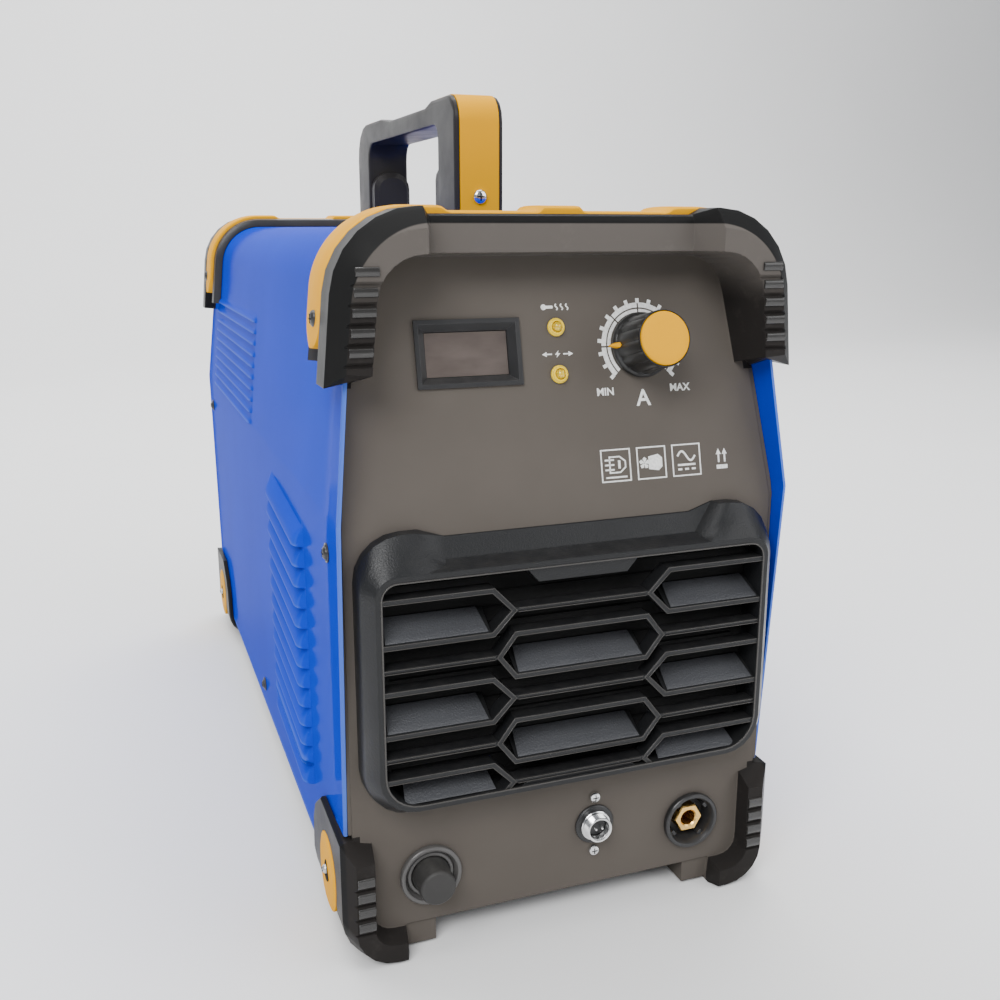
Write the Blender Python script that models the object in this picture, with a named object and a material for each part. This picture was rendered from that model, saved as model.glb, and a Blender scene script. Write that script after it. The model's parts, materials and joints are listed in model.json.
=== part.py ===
"""Stick welding inverter: a portable arc-welding power source in a flared steel case.

Drawing units are millimetres and are scaled to metres when a mesh is made.
+X is the machine's right seen from the front, +Y runs to the rear and +Z is up.
The origin is on the floor, under the middle of the machine.
"""
import math

import bmesh
import bpy
from mathutils import Matrix, Vector
from mathutils.geometry import tessellate_polygon

# ---------------------------------------------------------------- driving dimensions, mm
MM = 0.001
GAP = 0.3                       # clearance between pieces that touch
LENGTH = 600.0                  # grille face to rear guard face
GRILLE_STANDOFF = 8.0           # grille face ahead of the front guards
FRONT = -LENGTH / 2 + GRILLE_STANDOFF
REAR = LENGTH / 2

CASE_HALF = 125.5               # cover half-width below the bend
BEND_Z = 245.0                  # height of the widest line of the flared sides
FLARE = 0.11                    # half-width lost for each mm above the bend
CASE_TOP = 384.0
CASE_BOTTOM = 24.0
CASE_CORNER = 34.0
SHEET = 1.5                     # steel sheet
NOSE_UPPER = 0.134              # setback of the cover's front edge above the bend
NOSE_LOWER = 0.073              # and below it

GUARD_PROUD = 9.8               # guards stand out from the cover
GUARD_DEPTH = 27.0
GUARD_LEG_Z = 311.0             # lower end of the upper guards
FOOT_TOP_Z = 73.5               # upper end of the lower guards
FOOT_HALF = CASE_HALF + 4.0     # half-width over the lower guards
FOOT_CORNER = 28.0              # radius of the lower outer corner of each foot
FOOT_SKIN = 3.4                 # thickness of the feet's sides and soles
FOOT_INNER_X = 93.0             # inner end of each foot
TRIM_WIDTH = 35.0
TRIM_TIP_Z = 325.0

PANEL_Y = 11.0                  # socket panel, behind the guard face
PANEL_NOSE_Z = 238.7            # where the control panel starts to lean back
PANEL_SLOPE = 0.235
PANEL_TOP_Z = 372.0
PANEL_BOTTOM_Z = 15.7
PANEL_THICK = 4.0
PANEL_SIDE_GAP = 2.0            # panel edge inside the cover's inner face
TILT = math.atan(PANEL_SLOPE)

REAR_PANEL_Y = 22.0             # rear panel, ahead of the rear guard face

DIAL_X, DIAL_S = 48.0, 86.2     # dial centre, S is measured up the leaning panel
DISPLAY_X, DISPLAY_S = -49.3, 85.7
LED_X, LED_UPPER_S, LED_LOWER_S = -0.5, 97.5, 73.0
CONTROL_X, CONTROL_Z = 17.5, 54.0
CONTROL_SCREW_PITCH = 16.8
OUTPUT_X, OUTPUT_Z = 80.0, 44.0

HANDLE_FRONT_Y = FRONT + 153.0
HANDLE_REAR_Y = FRONT + 404.0
HANDLE_TOP_Z = 461.6
HANDLE_HALF = 15.5
HANDLE_LEG = 36.0
GRIP_UNDER_Z = 446.0

FAN_Z = 150.0
FAN_SIZE = 150.0
FAN_DEPTH = 38.0
BREAKER_X, BREAKER_Z = -52.0, 305.0
GLAND_X, GLAND_Z = 56.0, 300.0
GROUND_X, GROUND_Z = 84.0, 44.0

# ---------------------------------------------------------------- materials
FINISHES = {
    "blue_paint": ((0.004, 0.070, 0.50), 0.18, 0.0),
    "black_plastic": ((0.045, 0.040, 0.036), 0.42, 0.0),
    "grained_plastic": ((0.030, 0.030, 0.032), 0.55, 0.0),
    "yellow_plastic": ((0.95, 0.52, 0.03), 0.40, 0.0),
    "knob_black": ((0.015, 0.015, 0.015), 0.35, 0.0),
    "dark_window": ((0.020, 0.016, 0.016), 0.12, 0.0),
    "amber_lens": ((0.90, 0.60, 0.05), 0.15, 0.0),
    "brass": ((0.80, 0.52, 0.18), 0.28, 1.0),
    "chrome": ((0.80, 0.80, 0.80), 0.18, 1.0),
    "steel": ((0.55, 0.55, 0.55), 0.38, 1.0),
    "zinc_sheet": ((0.50, 0.52, 0.54), 0.45, 1.0),
    "aluminium": ((0.75, 0.76, 0.78), 0.35, 1.0),
    "copper": ((0.72, 0.33, 0.16), 0.35, 1.0),
    "ferrite": ((0.06, 0.06, 0.065), 0.70, 0.0),
    "board_green": ((0.02, 0.16, 0.06), 0.50, 0.0),
    "red_plastic": ((0.60, 0.03, 0.02), 0.40, 0.0),
    "sleeve_black": ((0.02, 0.02, 0.025), 0.40, 0.0),
}


def material(name):
    """Return the named finish as a Principled BSDF material, made once."""
    found = bpy.data.materials.get(name)
    if found:
        return found
    colour, roughness, metallic = FINISHES[name]
    made = bpy.data.materials.new(name)
    made.use_nodes = True
    shader = made.node_tree.nodes["Principled BSDF"]
    shader.inputs["Base Color"].default_value = (*colour, 1.0)
    shader.inputs["Roughness"].default_value = roughness
    shader.inputs["Metallic"].default_value = metallic
    return made


# ---------------------------------------------------------------- object helpers
def clear_scene():
    for existing in list(bpy.data.objects):
        bpy.data.objects.remove(existing, do_unlink=True)


def add_object(name, bm, finish, smooth_angle=35.0):
    """Turn a bmesh in millimetres into a named object with outward faces."""
    bmesh.ops.recalc_face_normals(bm, faces=bm.faces)
    bmesh.ops.scale(bm, vec=(MM, MM, MM), verts=bm.verts)
    mesh = bpy.data.meshes.new(name)
    bm.to_mesh(mesh)
    bm.free()
    mesh.shade_smooth()
    mesh.set_sharp_from_angle(angle=math.radians(smooth_angle))
    made = bpy.data.objects.new(name, mesh)
    bpy.context.scene.collection.objects.link(made)
    if finish:
        mesh.materials.append(material(finish))
    return made


def place(made, x, y, z, rotation=(0.0, 0.0, 0.0)):
    made.location = (x * MM, y * MM, z * MM)
    made.rotation_euler = rotation
    return made


def boolean(target, tool, operation):
    """Join, cut or clip the target with a tool that is then hidden."""
    modifier = target.modifiers.new(f"{operation.lower()}_{tool.name}", "BOOLEAN")
    modifier.operation = operation
    modifier.solver = "EXACT"
    modifier.object = tool
    tool.hide_render = True
    tool.display_type = "WIRE"
    return target


def unite(target, tool):
    return boolean(target, tool, "UNION")


def cut(target, tool):
    return boolean(target, tool, "DIFFERENCE")


# ---------------------------------------------------------------- shape helpers
def add_loft(bm, rings, cyclic=False, capped=True):
    """Skin equal rings of points; open lofts get an end face at each end if capped."""
    loops = [[bm.verts.new(point) for point in ring] for ring in rings]
    count = len(loops[0])
    pairs = list(zip(loops, loops[1:]))
    if cyclic:
        pairs.append((loops[-1], loops[0]))
    for first, second in pairs:
        for i in range(count):
            j = (i + 1) % count
            bm.faces.new((first[i], first[j], second[j], second[i]))
    if capped and not cyclic:
        bm.faces.new(loops[0])
        bm.faces.new(reversed(loops[-1]))
    return loops


def add_prism(bm, outline, low, high, axis="Z"):
    """Extrude a 2-D outline along an axis: XY along Z, XZ along Y or YZ along X."""
    def point(u, v, w):
        return {"Z": (u, v, w), "Y": (u, w, v), "X": (w, u, v)}[axis]
    add_loft(bm, [[point(u, v, level) for u, v in outline] for level in (low, high)])


def add_box(bm, x, y, z):
    add_prism(bm, [(x[0], y[0]), (x[1], y[0]), (x[1], y[1]), (x[0], y[1])], z[0], z[1])


def add_turned(bm, profile, segments=24):
    """Turn a profile of (radius, height) about Z; a zero radius closes it on the axis."""
    rings = []
    for radius, height in profile:
        if radius == 0.0:
            rings.append([bm.verts.new((0.0, 0.0, height))])
            continue
        ring = []
        for i in range(segments):
            angle = 2.0 * math.pi * i / segments
            ring.append(bm.verts.new((radius * math.cos(angle), radius * math.sin(angle), height)))
        rings.append(ring)
    pairs = list(zip(rings, rings[1:]))
    if len(rings[0]) > 1 and len(rings[-1]) > 1:
        pairs.append((rings[-1], rings[0]))
    for first, second in pairs:
        for i in range(segments):
            j = (i + 1) % segments
            if len(first) == 1:
                bm.faces.new((first[0], second[j], second[i]))
            elif len(second) == 1:
                bm.faces.new((first[i], first[j], second[0]))
            else:
                bm.faces.new((first[i], first[j], second[j], second[i]))


def rounded(points, radii, steps=5, closed=False):
    """Replace the corners of a path by arcs; a zero radius keeps the corner."""
    result = []
    count = len(points)
    for i, (point, radius) in enumerate(zip(points, radii)):
        corner = Vector(point)
        if radius == 0.0 or (not closed and i in (0, count - 1)):
            result.append(tuple(corner))
            continue
        back = (Vector(points[i - 1]) - corner).normalized()
        ahead = (Vector(points[(i + 1) % count]) - corner).normalized()
        half = back.angle(ahead) / 2.0
        reach = radius / math.tan(half)
        centre = corner + (back + ahead).normalized() * (radius / math.sin(half))
        start = corner + back * reach - centre
        end = corner + ahead * reach - centre
        sweep = start.angle_signed(end)
        for k in range(steps + 1):
            turn = Matrix.Rotation(-sweep * k / steps, 2)
            result.append(tuple(centre + turn @ start))
    return result


def normals(path):
    """Mitred unit normals of an open 2-D path, to the right of its direction."""
    found = []
    for i in range(len(path)):
        before = Vector(path[i]) - Vector(path[max(i - 1, 0)])
        after = Vector(path[min(i + 1, len(path) - 1)]) - Vector(path[i])
        if before.length < 1e-6:
            before = after
        if after.length < 1e-6:
            after = before
        a = Vector((before.y, -before.x)).normalized()
        b = Vector((after.y, -after.x)).normalized()
        bisector = (a + b).normalized()
        found.append(bisector / max(bisector.dot(a), 0.3))
    return found


def ribbon(path, half_width):
    """Outline of an open path thickened to both sides."""
    side = normals(path)
    right = [(p[0] + n.x * half_width, p[1] + n.y * half_width) for p, n in zip(path, side)]
    left = [(p[0] - n.x * half_width, p[1] - n.y * half_width) for p, n in zip(path, side)]
    return right + left[::-1]


def sweep_sections(bm, path, sections, rear, end_cuts):
    """Sweep sections of (inset, depth) along a path in XZ; both ends slope at the front."""
    first = (Vector(path[1]) - Vector(path[0])).normalized() * end_cuts[0]
    last = (Vector(path[-2]) - Vector(path[-1])).normalized() * end_cuts[1]
    shifts = [first] + [Vector((0.0, 0.0))] * (len(path) - 2) + [last]
    rings = []
    for (x, z), normal, section, shift in zip(path, normals(path), sections, shifts):
        ring = []
        for inset, depth in section:
            slope = max(1.0 - depth / 9.0, 0.0)
            ring.append((x + normal.x * inset + shift.x * slope, end_y(depth, rear),
                         z + normal.y * inset + shift.y * slope))
        rings.append(ring)
    loops = add_loft(bm, rings, capped=False)
    for loop, section in ((loops[0], sections[0]), (loops[-1], sections[-1])):
        flat = [Vector((inset, depth, 0.0)) for inset, depth in section]
        for a, b, c in tessellate_polygon([flat]):
            bm.faces.new((loop[a], loop[b], loop[c]))
    bmesh.ops.triangulate(bm, faces=bm.faces)


def end_y(depth, rear):
    """Distance behind the guard face of the front or the rear end, as Y."""
    return REAR - depth if rear else FRONT + depth


# ---------------------------------------------------------------- case outline
def half_width(z):
    """Outer half-width of the cover's straight sides at a height."""
    return CASE_HALF - FLARE * max(z - BEND_Z, 0.0)


def case_path(offset=0.0, low=CASE_BOTTOM, steps=6):
    """Left side, top and right side of the cover as one path in XZ, moved out by offset."""
    top = CASE_TOP + offset
    top_x = half_width(CASE_TOP) + offset
    side_x = CASE_HALF + offset
    points = [(-side_x, low), (-side_x, BEND_Z), (-top_x, top),
              (top_x, top), (side_x, BEND_Z), (side_x, low)]
    corner = CASE_CORNER + offset
    return rounded(points, [0, 40, corner, corner, 40, 0], steps)


def leg_path(offset, low, steps=6):
    """The same path from a height above the bend: the run of the upper guards."""
    start = half_width(low) + offset
    top_x = half_width(CASE_TOP) + offset
    top = CASE_TOP + offset
    corner = CASE_CORNER + offset
    points = [(-start, low), (-top_x, top), (top_x, top), (start, low)]
    return rounded(points, [0, corner, corner, 0], steps)


# ---------------------------------------------------------------- casing
COVER_STEP_HIGH = GUARD_LEG_Z - 3.2
COVER_STEP_LOW = FOOT_TOP_Z + 0.6


def edge_setback(z):
    """How far the cover's front and rear edges sit behind the guard face."""
    if z > COVER_STEP_HIGH or z < COVER_STEP_LOW:
        return GUARD_DEPTH + 4.0
    slope = NOSE_UPPER if z > BEND_Z else NOSE_LOWER
    return 1.0 + abs(z - BEND_Z) * slope


def cover_edge_heights():
    """Extra stations that give the cover's ends their steps and their nose."""
    return [COVER_STEP_LOW - 0.1, COVER_STEP_LOW + 0.1,
            COVER_STEP_HIGH - 0.1, COVER_STEP_HIGH + 0.1]


def cover_shell():
    """Inverted-U steel cover; its ends follow the noses of the mouldings."""
    path = case_path()
    for z in cover_edge_heights():
        for sign in (-1, 1):
            x = sign * half_width(z)
            path.append((x, z))
    left = sorted([p for p in path if p[0] < 0], key=lambda p: (p[1], p[0]))
    right = sorted([p for p in path if p[0] > 0], key=lambda p: (-p[1], p[0]))
    path = left + right
    rings = []
    for (x, z), normal in zip(path, normals(path)):
        inner = (x + normal.x * SHEET, z + normal.y * SHEET)
        front, rear = FRONT + edge_setback(z), REAR - edge_setback(z)
        rings.append([(x, front, z), (x, rear, z),
                      (inner[0], rear, inner[1]), (inner[0], front, inner[1])])
    bm = bmesh.new()
    add_loft(bm, rings)
    cover = add_object("cover_shell", bm, "blue_paint")
    unite(cover, louvre_hoods())
    cut(cover, louvre_slots())
    cut(cover, handle_holes())
    return cover


LOUVRE_ROWS = 13
LOUVRE_PITCH = 12.3
LOUVRE_FIRST_Z = 219.0
LOUVRE_SPAN = (FRONT + 98.0, FRONT + 208.0)
LOUVRE_RISE = 7.0               # the rear end of each louvre is higher
VENT_ROWS = 10
VENT_PITCH = 8.1
VENT_FIRST_Z = 322.0
VENT_SPAN = (FRONT + 305.0, FRONT + 530.0)


def louvre_rows():
    """Every louvre on one side: (front end, rear end, height, rise, stand-out, drop)."""
    rows = [(*LOUVRE_SPAN, LOUVRE_FIRST_Z - LOUVRE_PITCH * i, LOUVRE_RISE, 3.6, 8.0)
            for i in range(LOUVRE_ROWS)]
    rows += [(*VENT_SPAN, VENT_FIRST_Z - VENT_PITCH * i, 0.0, 1.6, 3.4)
             for i in range(VENT_ROWS)]
    return rows


def louvre_hoods():
    """Pressed eyebrows over the slots, tapered into the sheet at both ends."""
    bm = bmesh.new()
    for front, rear, z, rise, proud, drop in louvre_rows():
        for side in (-1, 1):
            rings = []
            for t, swell in ((0.0, 0.05), (0.09, 1.0), (0.8, 1.0), (1.0, 0.05)):
                y = front + (rear - front) * t
                top = z + rise * t
                low = top - drop * (0.4 + 0.6 * swell)
                rings.append([(side * (half_width(top) - SHEET / 2), y, top),
                              (side * (half_width(low) + proud * swell), y, low),
                              (side * (half_width(low) - SHEET / 2), y, low)])
            add_loft(bm, rings)
    return add_object("tool_louvre_hoods", bm, None)


def louvre_slots():
    """Slots through the sheet under each eyebrow."""
    bm = bmesh.new()
    for front, rear, z, rise, proud, drop in louvre_rows():
        height = 2.2 if drop > 5.0 else 1.4
        for side in (-1, 1):
            rings = []
            for t in (0.08, 0.86):
                y = front + (rear - front) * t
                top = z + rise * t - drop - 0.2
                x_in, x_out = side * (half_width(top) - 6.0), side * (half_width(top) + 6.0)
                rings.append([(x_in, y, top), (x_out, y, top),
                              (x_out, y, top - height), (x_in, y, top - height)])
            add_loft(bm, rings)
    return add_object("tool_louvre_slots", bm, None)


def base_pan():
    """Folded tray: floor with an upturned edge at each side."""
    outer = half_width(CASE_BOTTOM) - SHEET - 0.5
    floor = CASE_BOTTOM - 6.0
    lip = CASE_BOTTOM + 20.0
    outline = [(-outer, lip), (-outer, floor), (outer, floor), (outer, lip),
               (outer - SHEET, lip), (outer - SHEET, floor + SHEET),
               (-outer + SHEET, floor + SHEET), (-outer + SHEET, lip)]
    bm = bmesh.new()
    add_prism(bm, outline, FRONT + 64.0, REAR - 64.0, "Y")
    return add_object("base_pan", bm, "zinc_sheet")


# ---------------------------------------------------------------- mouldings
# guard sections are listed as (inset from the outer surface, depth behind the guard face)
UPPER_BACK = [(24.0, 44.0), (13.0, 44.0), (13.0, GUARD_DEPTH), (0.0, GUARD_DEPTH),
              (0.0, 9.0), (2.2, 6.5)]
HOOD_SECTION = [(7.3, 20.0), (21.8, 20.0), (24.0, 44.0), (13.0, 44.0), (13.0, GUARD_DEPTH),
                (3.3, GUARD_DEPTH), (3.3, 23.5), (4.4, 21.6)]
HOOD_OUTER_X, HOOD_INNER_X = 78.4, 72.0
RIB_PITCH = 9.15
RIB_FIRST_Z = 363.6


def upper_guard(name, rear):
    """Corner guards as one inverted U, set back along the hood between them."""
    path = leg_path(GUARD_PROUD, GUARD_LEG_Z)
    half = len(path) // 2
    top = CASE_TOP + GUARD_PROUD
    hood = [(x, top) for x in (-HOOD_OUTER_X, -HOOD_INNER_X, HOOD_INNER_X, HOOD_OUTER_X)]
    path = path[:half] + hood + path[half:]
    sections = []
    for (x, z), normal in zip(path, normals(path)):
        crown = abs(normal.y)
        face = [(8.5 + 1.7 * crown, 0.0), (20.5 + 1.3 * crown, 0.0)]
        sections.append(HOOD_SECTION if abs(x) <= HOOD_INNER_X else face + UPPER_BACK)
    bm = bmesh.new()
    sweep_sections(bm, path, sections, rear, (8.0, 8.0))
    return add_object(name, bm, None)


def heel_reach(z):
    """How far back a foot's skin runs at a height: arched at the top, round at the heel."""
    if z > 34.0:
        return 46.0 + 42.0 * math.sqrt(max(1.0 - ((z - 34.0) / 42.0) ** 2, 0.0))
    return 62.0 + 26.0 * math.sqrt(max(1.0 - ((34.0 - z) / 34.0) ** 2, 0.0))


def feet(name, rear):
    """Two feet, each a corner guard whose skin runs back beside and under the case."""
    bm = bmesh.new()
    for sign in (-1, 1):
        outer = sign * FOOT_HALF
        side = [(outer, z) for z in (FOOT_TOP_Z, 60.0, 48.0)]
        corner = [side[-1], (outer, 0.0), (sign * FOOT_INNER_X, 0.0)]
        path = side[:-1] + rounded(corner, [0, FOOT_CORNER, 0], 6)
        sections = []
        for (x, z), normal in zip(path, normals(path)):
            sole = abs(normal.y)
            reach = heel_reach(z)
            section = [(6.8 - 5.3 * sole, 0.0), (16.7 - 5.0 * sole, 0.0), (18.0, 18.0),
                       (18.0, GUARD_DEPTH), (FOOT_SKIN, GUARD_DEPTH + 2.0), (FOOT_SKIN, reach),
                       (1.2, reach), (0.0, reach - 2.0), (0.0, 8.0)]
            sections.append([(sign * inset, depth) for inset, depth in section])
        sweep_sections(bm, path, sections, rear, (10.5, 3.0))
    return add_object(name, bm, None)


def foot_blocks(name, rear):
    """Blocks inside the feet that join their soles to the panel plate."""
    bm = bmesh.new()
    for sign in (-1, 1):
        xs = sorted((sign * 77.0, sign * 107.0))
        ys = sorted((end_y(PANEL_Y + 1.0, rear), end_y(58.0, rear)))
        add_box(bm, xs, ys, (2.0, CASE_BOTTOM - 7.1))
    return add_object(name, bm, None)


PANEL_STATIONS = (PANEL_BOTTOM_Z, PANEL_NOSE_Z, 346.0, 358.0, 366.0, PANEL_TOP_Z)


def plate_half_width(z):
    """Panel edge at a height: along the flared side, then round the cover's corner."""
    inner = CASE_CORNER - SHEET - PANEL_SIDE_GAP
    centre_x = half_width(CASE_TOP) - CASE_CORNER + 1.0
    rise = z - (CASE_TOP - CASE_CORNER)
    side = half_width(z) - SHEET - PANEL_SIDE_GAP
    if rise <= 0.0:
        return side
    return min(side, centre_x + math.sqrt(inner ** 2 - rise ** 2))


def front_plate():
    """Panel plate: upright below the nose, leaning back above it."""
    bm = bmesh.new()
    rings = []
    for z in PANEL_STATIONS:
        x = plate_half_width(z)
        y = FRONT + PANEL_Y + max(z - PANEL_NOSE_Z, 0.0) * PANEL_SLOPE
        rings.append([(-x, y, z), (x, y, z), (x, y + PANEL_THICK, z), (-x, y + PANEL_THICK, z)])
    add_loft(bm, rings)
    return add_object("front_moulding", bm, "black_plastic")


def rear_plate():
    bm = bmesh.new()
    rings = []
    for z in PANEL_STATIONS:
        x = plate_half_width(z)
        y = REAR - REAR_PANEL_Y
        rings.append([(-x, y, z), (x, y, z), (x, y - PANEL_THICK, z), (-x, y - PANEL_THICK, z)])
    add_loft(bm, rings)
    return add_object("rear_moulding", bm, "black_plastic")


def control_frame(made, x, s, lift=0.0):
    """Stand a piece on the leaning control panel: local Z points out of the panel."""
    y = FRONT + PANEL_Y + s * math.sin(TILT) - lift * math.cos(TILT)
    z = PANEL_NOSE_Z + s * math.cos(TILT) + lift * math.sin(TILT)
    return place(made, x, y, z, (math.pi / 2 - TILT, 0.0, 0.0))


def socket_frame(made, x, z):
    """Stand a piece on the upright socket panel: local Z points to the front."""
    return place(made, x, FRONT + PANEL_Y, z, (math.pi / 2, 0.0, 0.0))


def rear_frame(made, x, z):
    """Stand a piece on the rear panel: local Z points to the rear, local X to -X."""
    return place(made, x, REAR - REAR_PANEL_Y, z, (math.pi / 2, 0.0, math.pi))


def disc_tool(name, radius, depth=12.0, segments=24):
    bm = bmesh.new()
    add_turned(bm, [(0.0, -depth), (radius, -depth), (radius, depth), (0.0, depth)], segments)
    return add_object(name, bm, None)


def rectangle_tool(name, width, height, depth=12.0):
    bm = bmesh.new()
    add_box(bm, (-width / 2, width / 2), (-height / 2, height / 2), (-depth, depth))
    return add_object(name, bm, None)


def air_window(name, inset, y_low, y_high):
    """The grille's window as a prism through the panel."""
    half, low, high = 107.0 - inset, 96.5 + inset, 217.5 - inset
    outline = rounded([(-half, low), (half, low), (half, high), (-half, high)],
                      [18, 18, 8, 8], 4, closed=True)
    bm = bmesh.new()
    add_prism(bm, outline, y_low, y_high, "Y")
    return add_object(name, bm, None)


def front_moulding():
    body = front_plate()
    unite(body, upper_guard("tool_front_guard", False))
    unite(body, foot_blocks("tool_front_blocks", False))
    unite(body, feet("tool_front_feet", False))
    cut(body, rib_grooves())
    cut(body, air_window("tool_air_window", 3.0, FRONT - 20.0, FRONT + 30.0))
    cut(body, control_frame(rectangle_tool("tool_display", 53.0, 31.0), DISPLAY_X, DISPLAY_S))
    cut(body, control_frame(disc_tool("tool_dial", 4.8), DIAL_X, DIAL_S))
    for name, s in (("tool_led_upper", LED_UPPER_S), ("tool_led_lower", LED_LOWER_S)):
        cut(body, control_frame(disc_tool(name, 4.2, segments=16), LED_X, s))
    cut(body, socket_frame(disc_tool("tool_control", 8.0), CONTROL_X, CONTROL_Z))
    for sign in (-1, 1):
        screw = disc_tool(f"tool_control_screw_{sign}", 1.9, segments=12)
        cut(body, socket_frame(screw, CONTROL_X, CONTROL_Z + sign * CONTROL_SCREW_PITCH))
        output = disc_tool(f"tool_output_{sign}", 14.6)
        cut(body, socket_frame(output, sign * OUTPUT_X, OUTPUT_Z))
    cut(body, insert_recesses("tool_front_insert_recess", False))
    return body


def rib_grooves():
    """Grooves across the guard faces, upper and lower, both sides."""
    bm = bmesh.new()
    for sign in (-1, 1):
        for i in range(5):
            z = RIB_FIRST_Z - RIB_PITCH * i - 4.6
            xs = sorted((sign * (half_width(z) - 16.0), sign * (half_width(z) + 3.0)))
            rings = []
            for x in xs:
                rings.append([(x, FRONT - 2.0, z - 1.5), (x, FRONT - 2.0, z + 3.2),
                              (x, FRONT + 1.6, z - 0.6), (x, FRONT + 1.6, z - 1.5)])
            add_loft(bm, rings)
        for i in range(4):
            z = 48.6 - 8.7 * i
            xs = sorted((sign * 113.0, sign * 128.0))
            rings = []
            for x in xs:
                rings.append([(x, FRONT - 2.0, z - 1.4), (x, FRONT - 2.0, z + 1.4),
                              (x, FRONT + 1.4, z + 0.3), (x, FRONT + 1.4, z - 0.3)])
            add_loft(bm, rings)
    return add_object("tool_rib_grooves", bm, None)


def insert_outline(grow=0.0):
    """Oval of the foot insert in (depth, height)."""
    return rounded([(23.0 - grow, 15.0 - grow), (63.0 + grow, 15.0 - grow),
                    (63.0 + grow, 59.0 + grow), (23.0 - grow, 59.0 + grow)],
                   [19.5 + grow] * 4, 5, closed=True)


def insert_recesses(name, rear):
    bm = bmesh.new()
    side = FOOT_HALF
    for sign in (-1, 1):
        rings = []
        for x in (side - 2.6, side + 6.0):
            rings.append([(sign * x, end_y(depth, rear), z) for depth, z in insert_outline(GAP)])
        add_loft(bm, rings)
    return add_object(name, bm, None)


def foot_insert(name, sign, rear):
    """Yellow oval let into the side of a foot, slightly crowned."""
    side = FOOT_HALF
    bm = bmesh.new()
    middle = (43.0, 37.0)
    rings = []
    for x, scale in ((side - 2.3, 1.0), (side + 0.2, 1.0), (side + 1.0, 0.86)):
        rings.append([(sign * x, end_y(middle[0] + (depth - middle[0]) * scale, rear),
                       middle[1] + (z - middle[1]) * scale) for depth, z in insert_outline()])
    add_loft(bm, rings)
    return add_object(name, bm, "yellow_plastic")


def rear_moulding():
    body = rear_plate()
    unite(body, upper_guard("tool_rear_guard", True))
    unite(body, foot_blocks("tool_rear_blocks", True))
    unite(body, feet("tool_rear_feet", True))
    cut(body, rear_frame(disc_tool("tool_fan", 70.0, segments=40), 0.0, FAN_Z))
    cut(body, rear_frame(rectangle_tool("tool_breaker", 55.0, 76.0), BREAKER_X, BREAKER_Z))
    cut(body, rear_frame(disc_tool("tool_gland", 16.3), GLAND_X, GLAND_Z))
    cut(body, rear_frame(disc_tool("tool_ground", 4.6, segments=12), GROUND_X, GROUND_Z))
    cut(body, insert_recesses("tool_rear_insert_recess", True))
    return body


def trim(name, rear):
    """Yellow band round the case behind a guard, with round ends on both legs."""
    thickness = 8.0
    clear = 0.4
    path = leg_path(clear, TRIM_TIP_Z, 6)
    low_part = [4.0, 9.0, 16.0]
    extra = []
    for lift in low_part:
        z = TRIM_TIP_Z + lift
        extra.append((half_width(z) + clear, z))
    path = path[:1] + [(-x, z) for x, z in extra] + path[1:-1] + extra[::-1] + path[-1:]
    middle = GUARD_DEPTH + GAP + TRIM_WIDTH / 2
    radius = TRIM_WIDTH / 2
    rings = []
    for (x, z), normal in zip(path, normals(path)):
        above = min(z - TRIM_TIP_Z, radius)
        reach = max(math.sqrt(max(radius ** 2 - (radius - above) ** 2, 0.0)), 2.5)
        outer = thickness if above > 1.0 else thickness - 1.5
        section = [(0.0, middle - reach), (-outer + 1.5, middle - reach),
                   (-outer, middle - reach + 1.5), (-outer, middle + reach - 1.5),
                   (-outer + 1.5, middle + reach), (0.0, middle + reach)]
        rings.append([(x + normal.x * inset, end_y(depth, rear), z + normal.y * inset)
                      for inset, depth in section])
    bm = bmesh.new()
    add_loft(bm, rings)
    return add_object(name, bm, "yellow_plastic")


# ---------------------------------------------------------------- grille
HEX_HALF = 11.7                 # half-height of each flattened hexagon
HEX_PITCH = 48.0
SIDE_HEX_Z = 196.0
CENTRE_HEX_Z = 171.5
SIDE_FLAT_X, SIDE_TIP_X = 49.8, 38.5
CENTRE_FLAT_X, CENTRE_TIP_X = 37.5, 46.5
FRAME_X = 109.0
BAR_HALF = 1.4
BAR_FRONT, BAR_BACK = -7.4, 2.0


def grille_bezel():
    """Raised bezel with two ears and a notch between them at the top."""
    def ring(y, half, low, ear, ear_x, notch_x, notch, low_r, top_r):
        outline = rounded(
            [(-half, low), (half, low), (half, ear), (ear_x, ear), (notch_x, notch),
             (-notch_x, notch), (-ear_x, ear), (-half, ear)],
            [low_r, low_r, top_r, 0, 0, 0, 0, top_r], 5, closed=True)
        return [(x, FRONT + y, z) for x, z in outline]
    rings = [ring(PANEL_Y - GAP, 117.5, 89.5, 238.3, 84.0, 70.0, 233.6, 24, 24),
             ring(4.4, 117.5, 89.8, 238.0, 86.0, 71.0, 223.4, 24, 24),
             ring(-2.0, 116.0, 90.5, 229.0, 84.0, 73.0, 221.9, 23, 20),
             ring(-GRILLE_STANDOFF, 110.5, 93.5, 220.6, 84.0, 74.0, 220.5, 20, 11)]
    bm = bmesh.new()
    add_loft(bm, rings)
    return add_object("front_grille", bm, "grained_plastic")


def hexagon(centre_z, flat_x, tip_x):
    """Outline of a flattened hexagon in XZ."""
    return [(-flat_x, centre_z + HEX_HALF), (flat_x, centre_z + HEX_HALF), (tip_x, centre_z),
            (flat_x, centre_z - HEX_HALF), (-flat_x, centre_z - HEX_HALF), (-tip_x, centre_z)]


def add_ring_prism(bm, outline, half, low, high):
    """Prism of a closed outline thickened to both sides."""
    closed = [outline[-1]] + outline + [outline[0]]
    side = normals(closed)[1:-1]
    outer = [(p[0] - n.x * half, p[1] - n.y * half) for p, n in zip(outline, side)]
    inner = [(p[0] + n.x * half, p[1] + n.y * half) for p, n in zip(outline, side)]
    rings = []
    for points, y in ((outer, low), (outer, high), (inner, high), (inner, low)):
        rings.append([(x, FRONT + y, z) for x, z in points])
    add_loft(bm, rings, cyclic=True)


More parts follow.
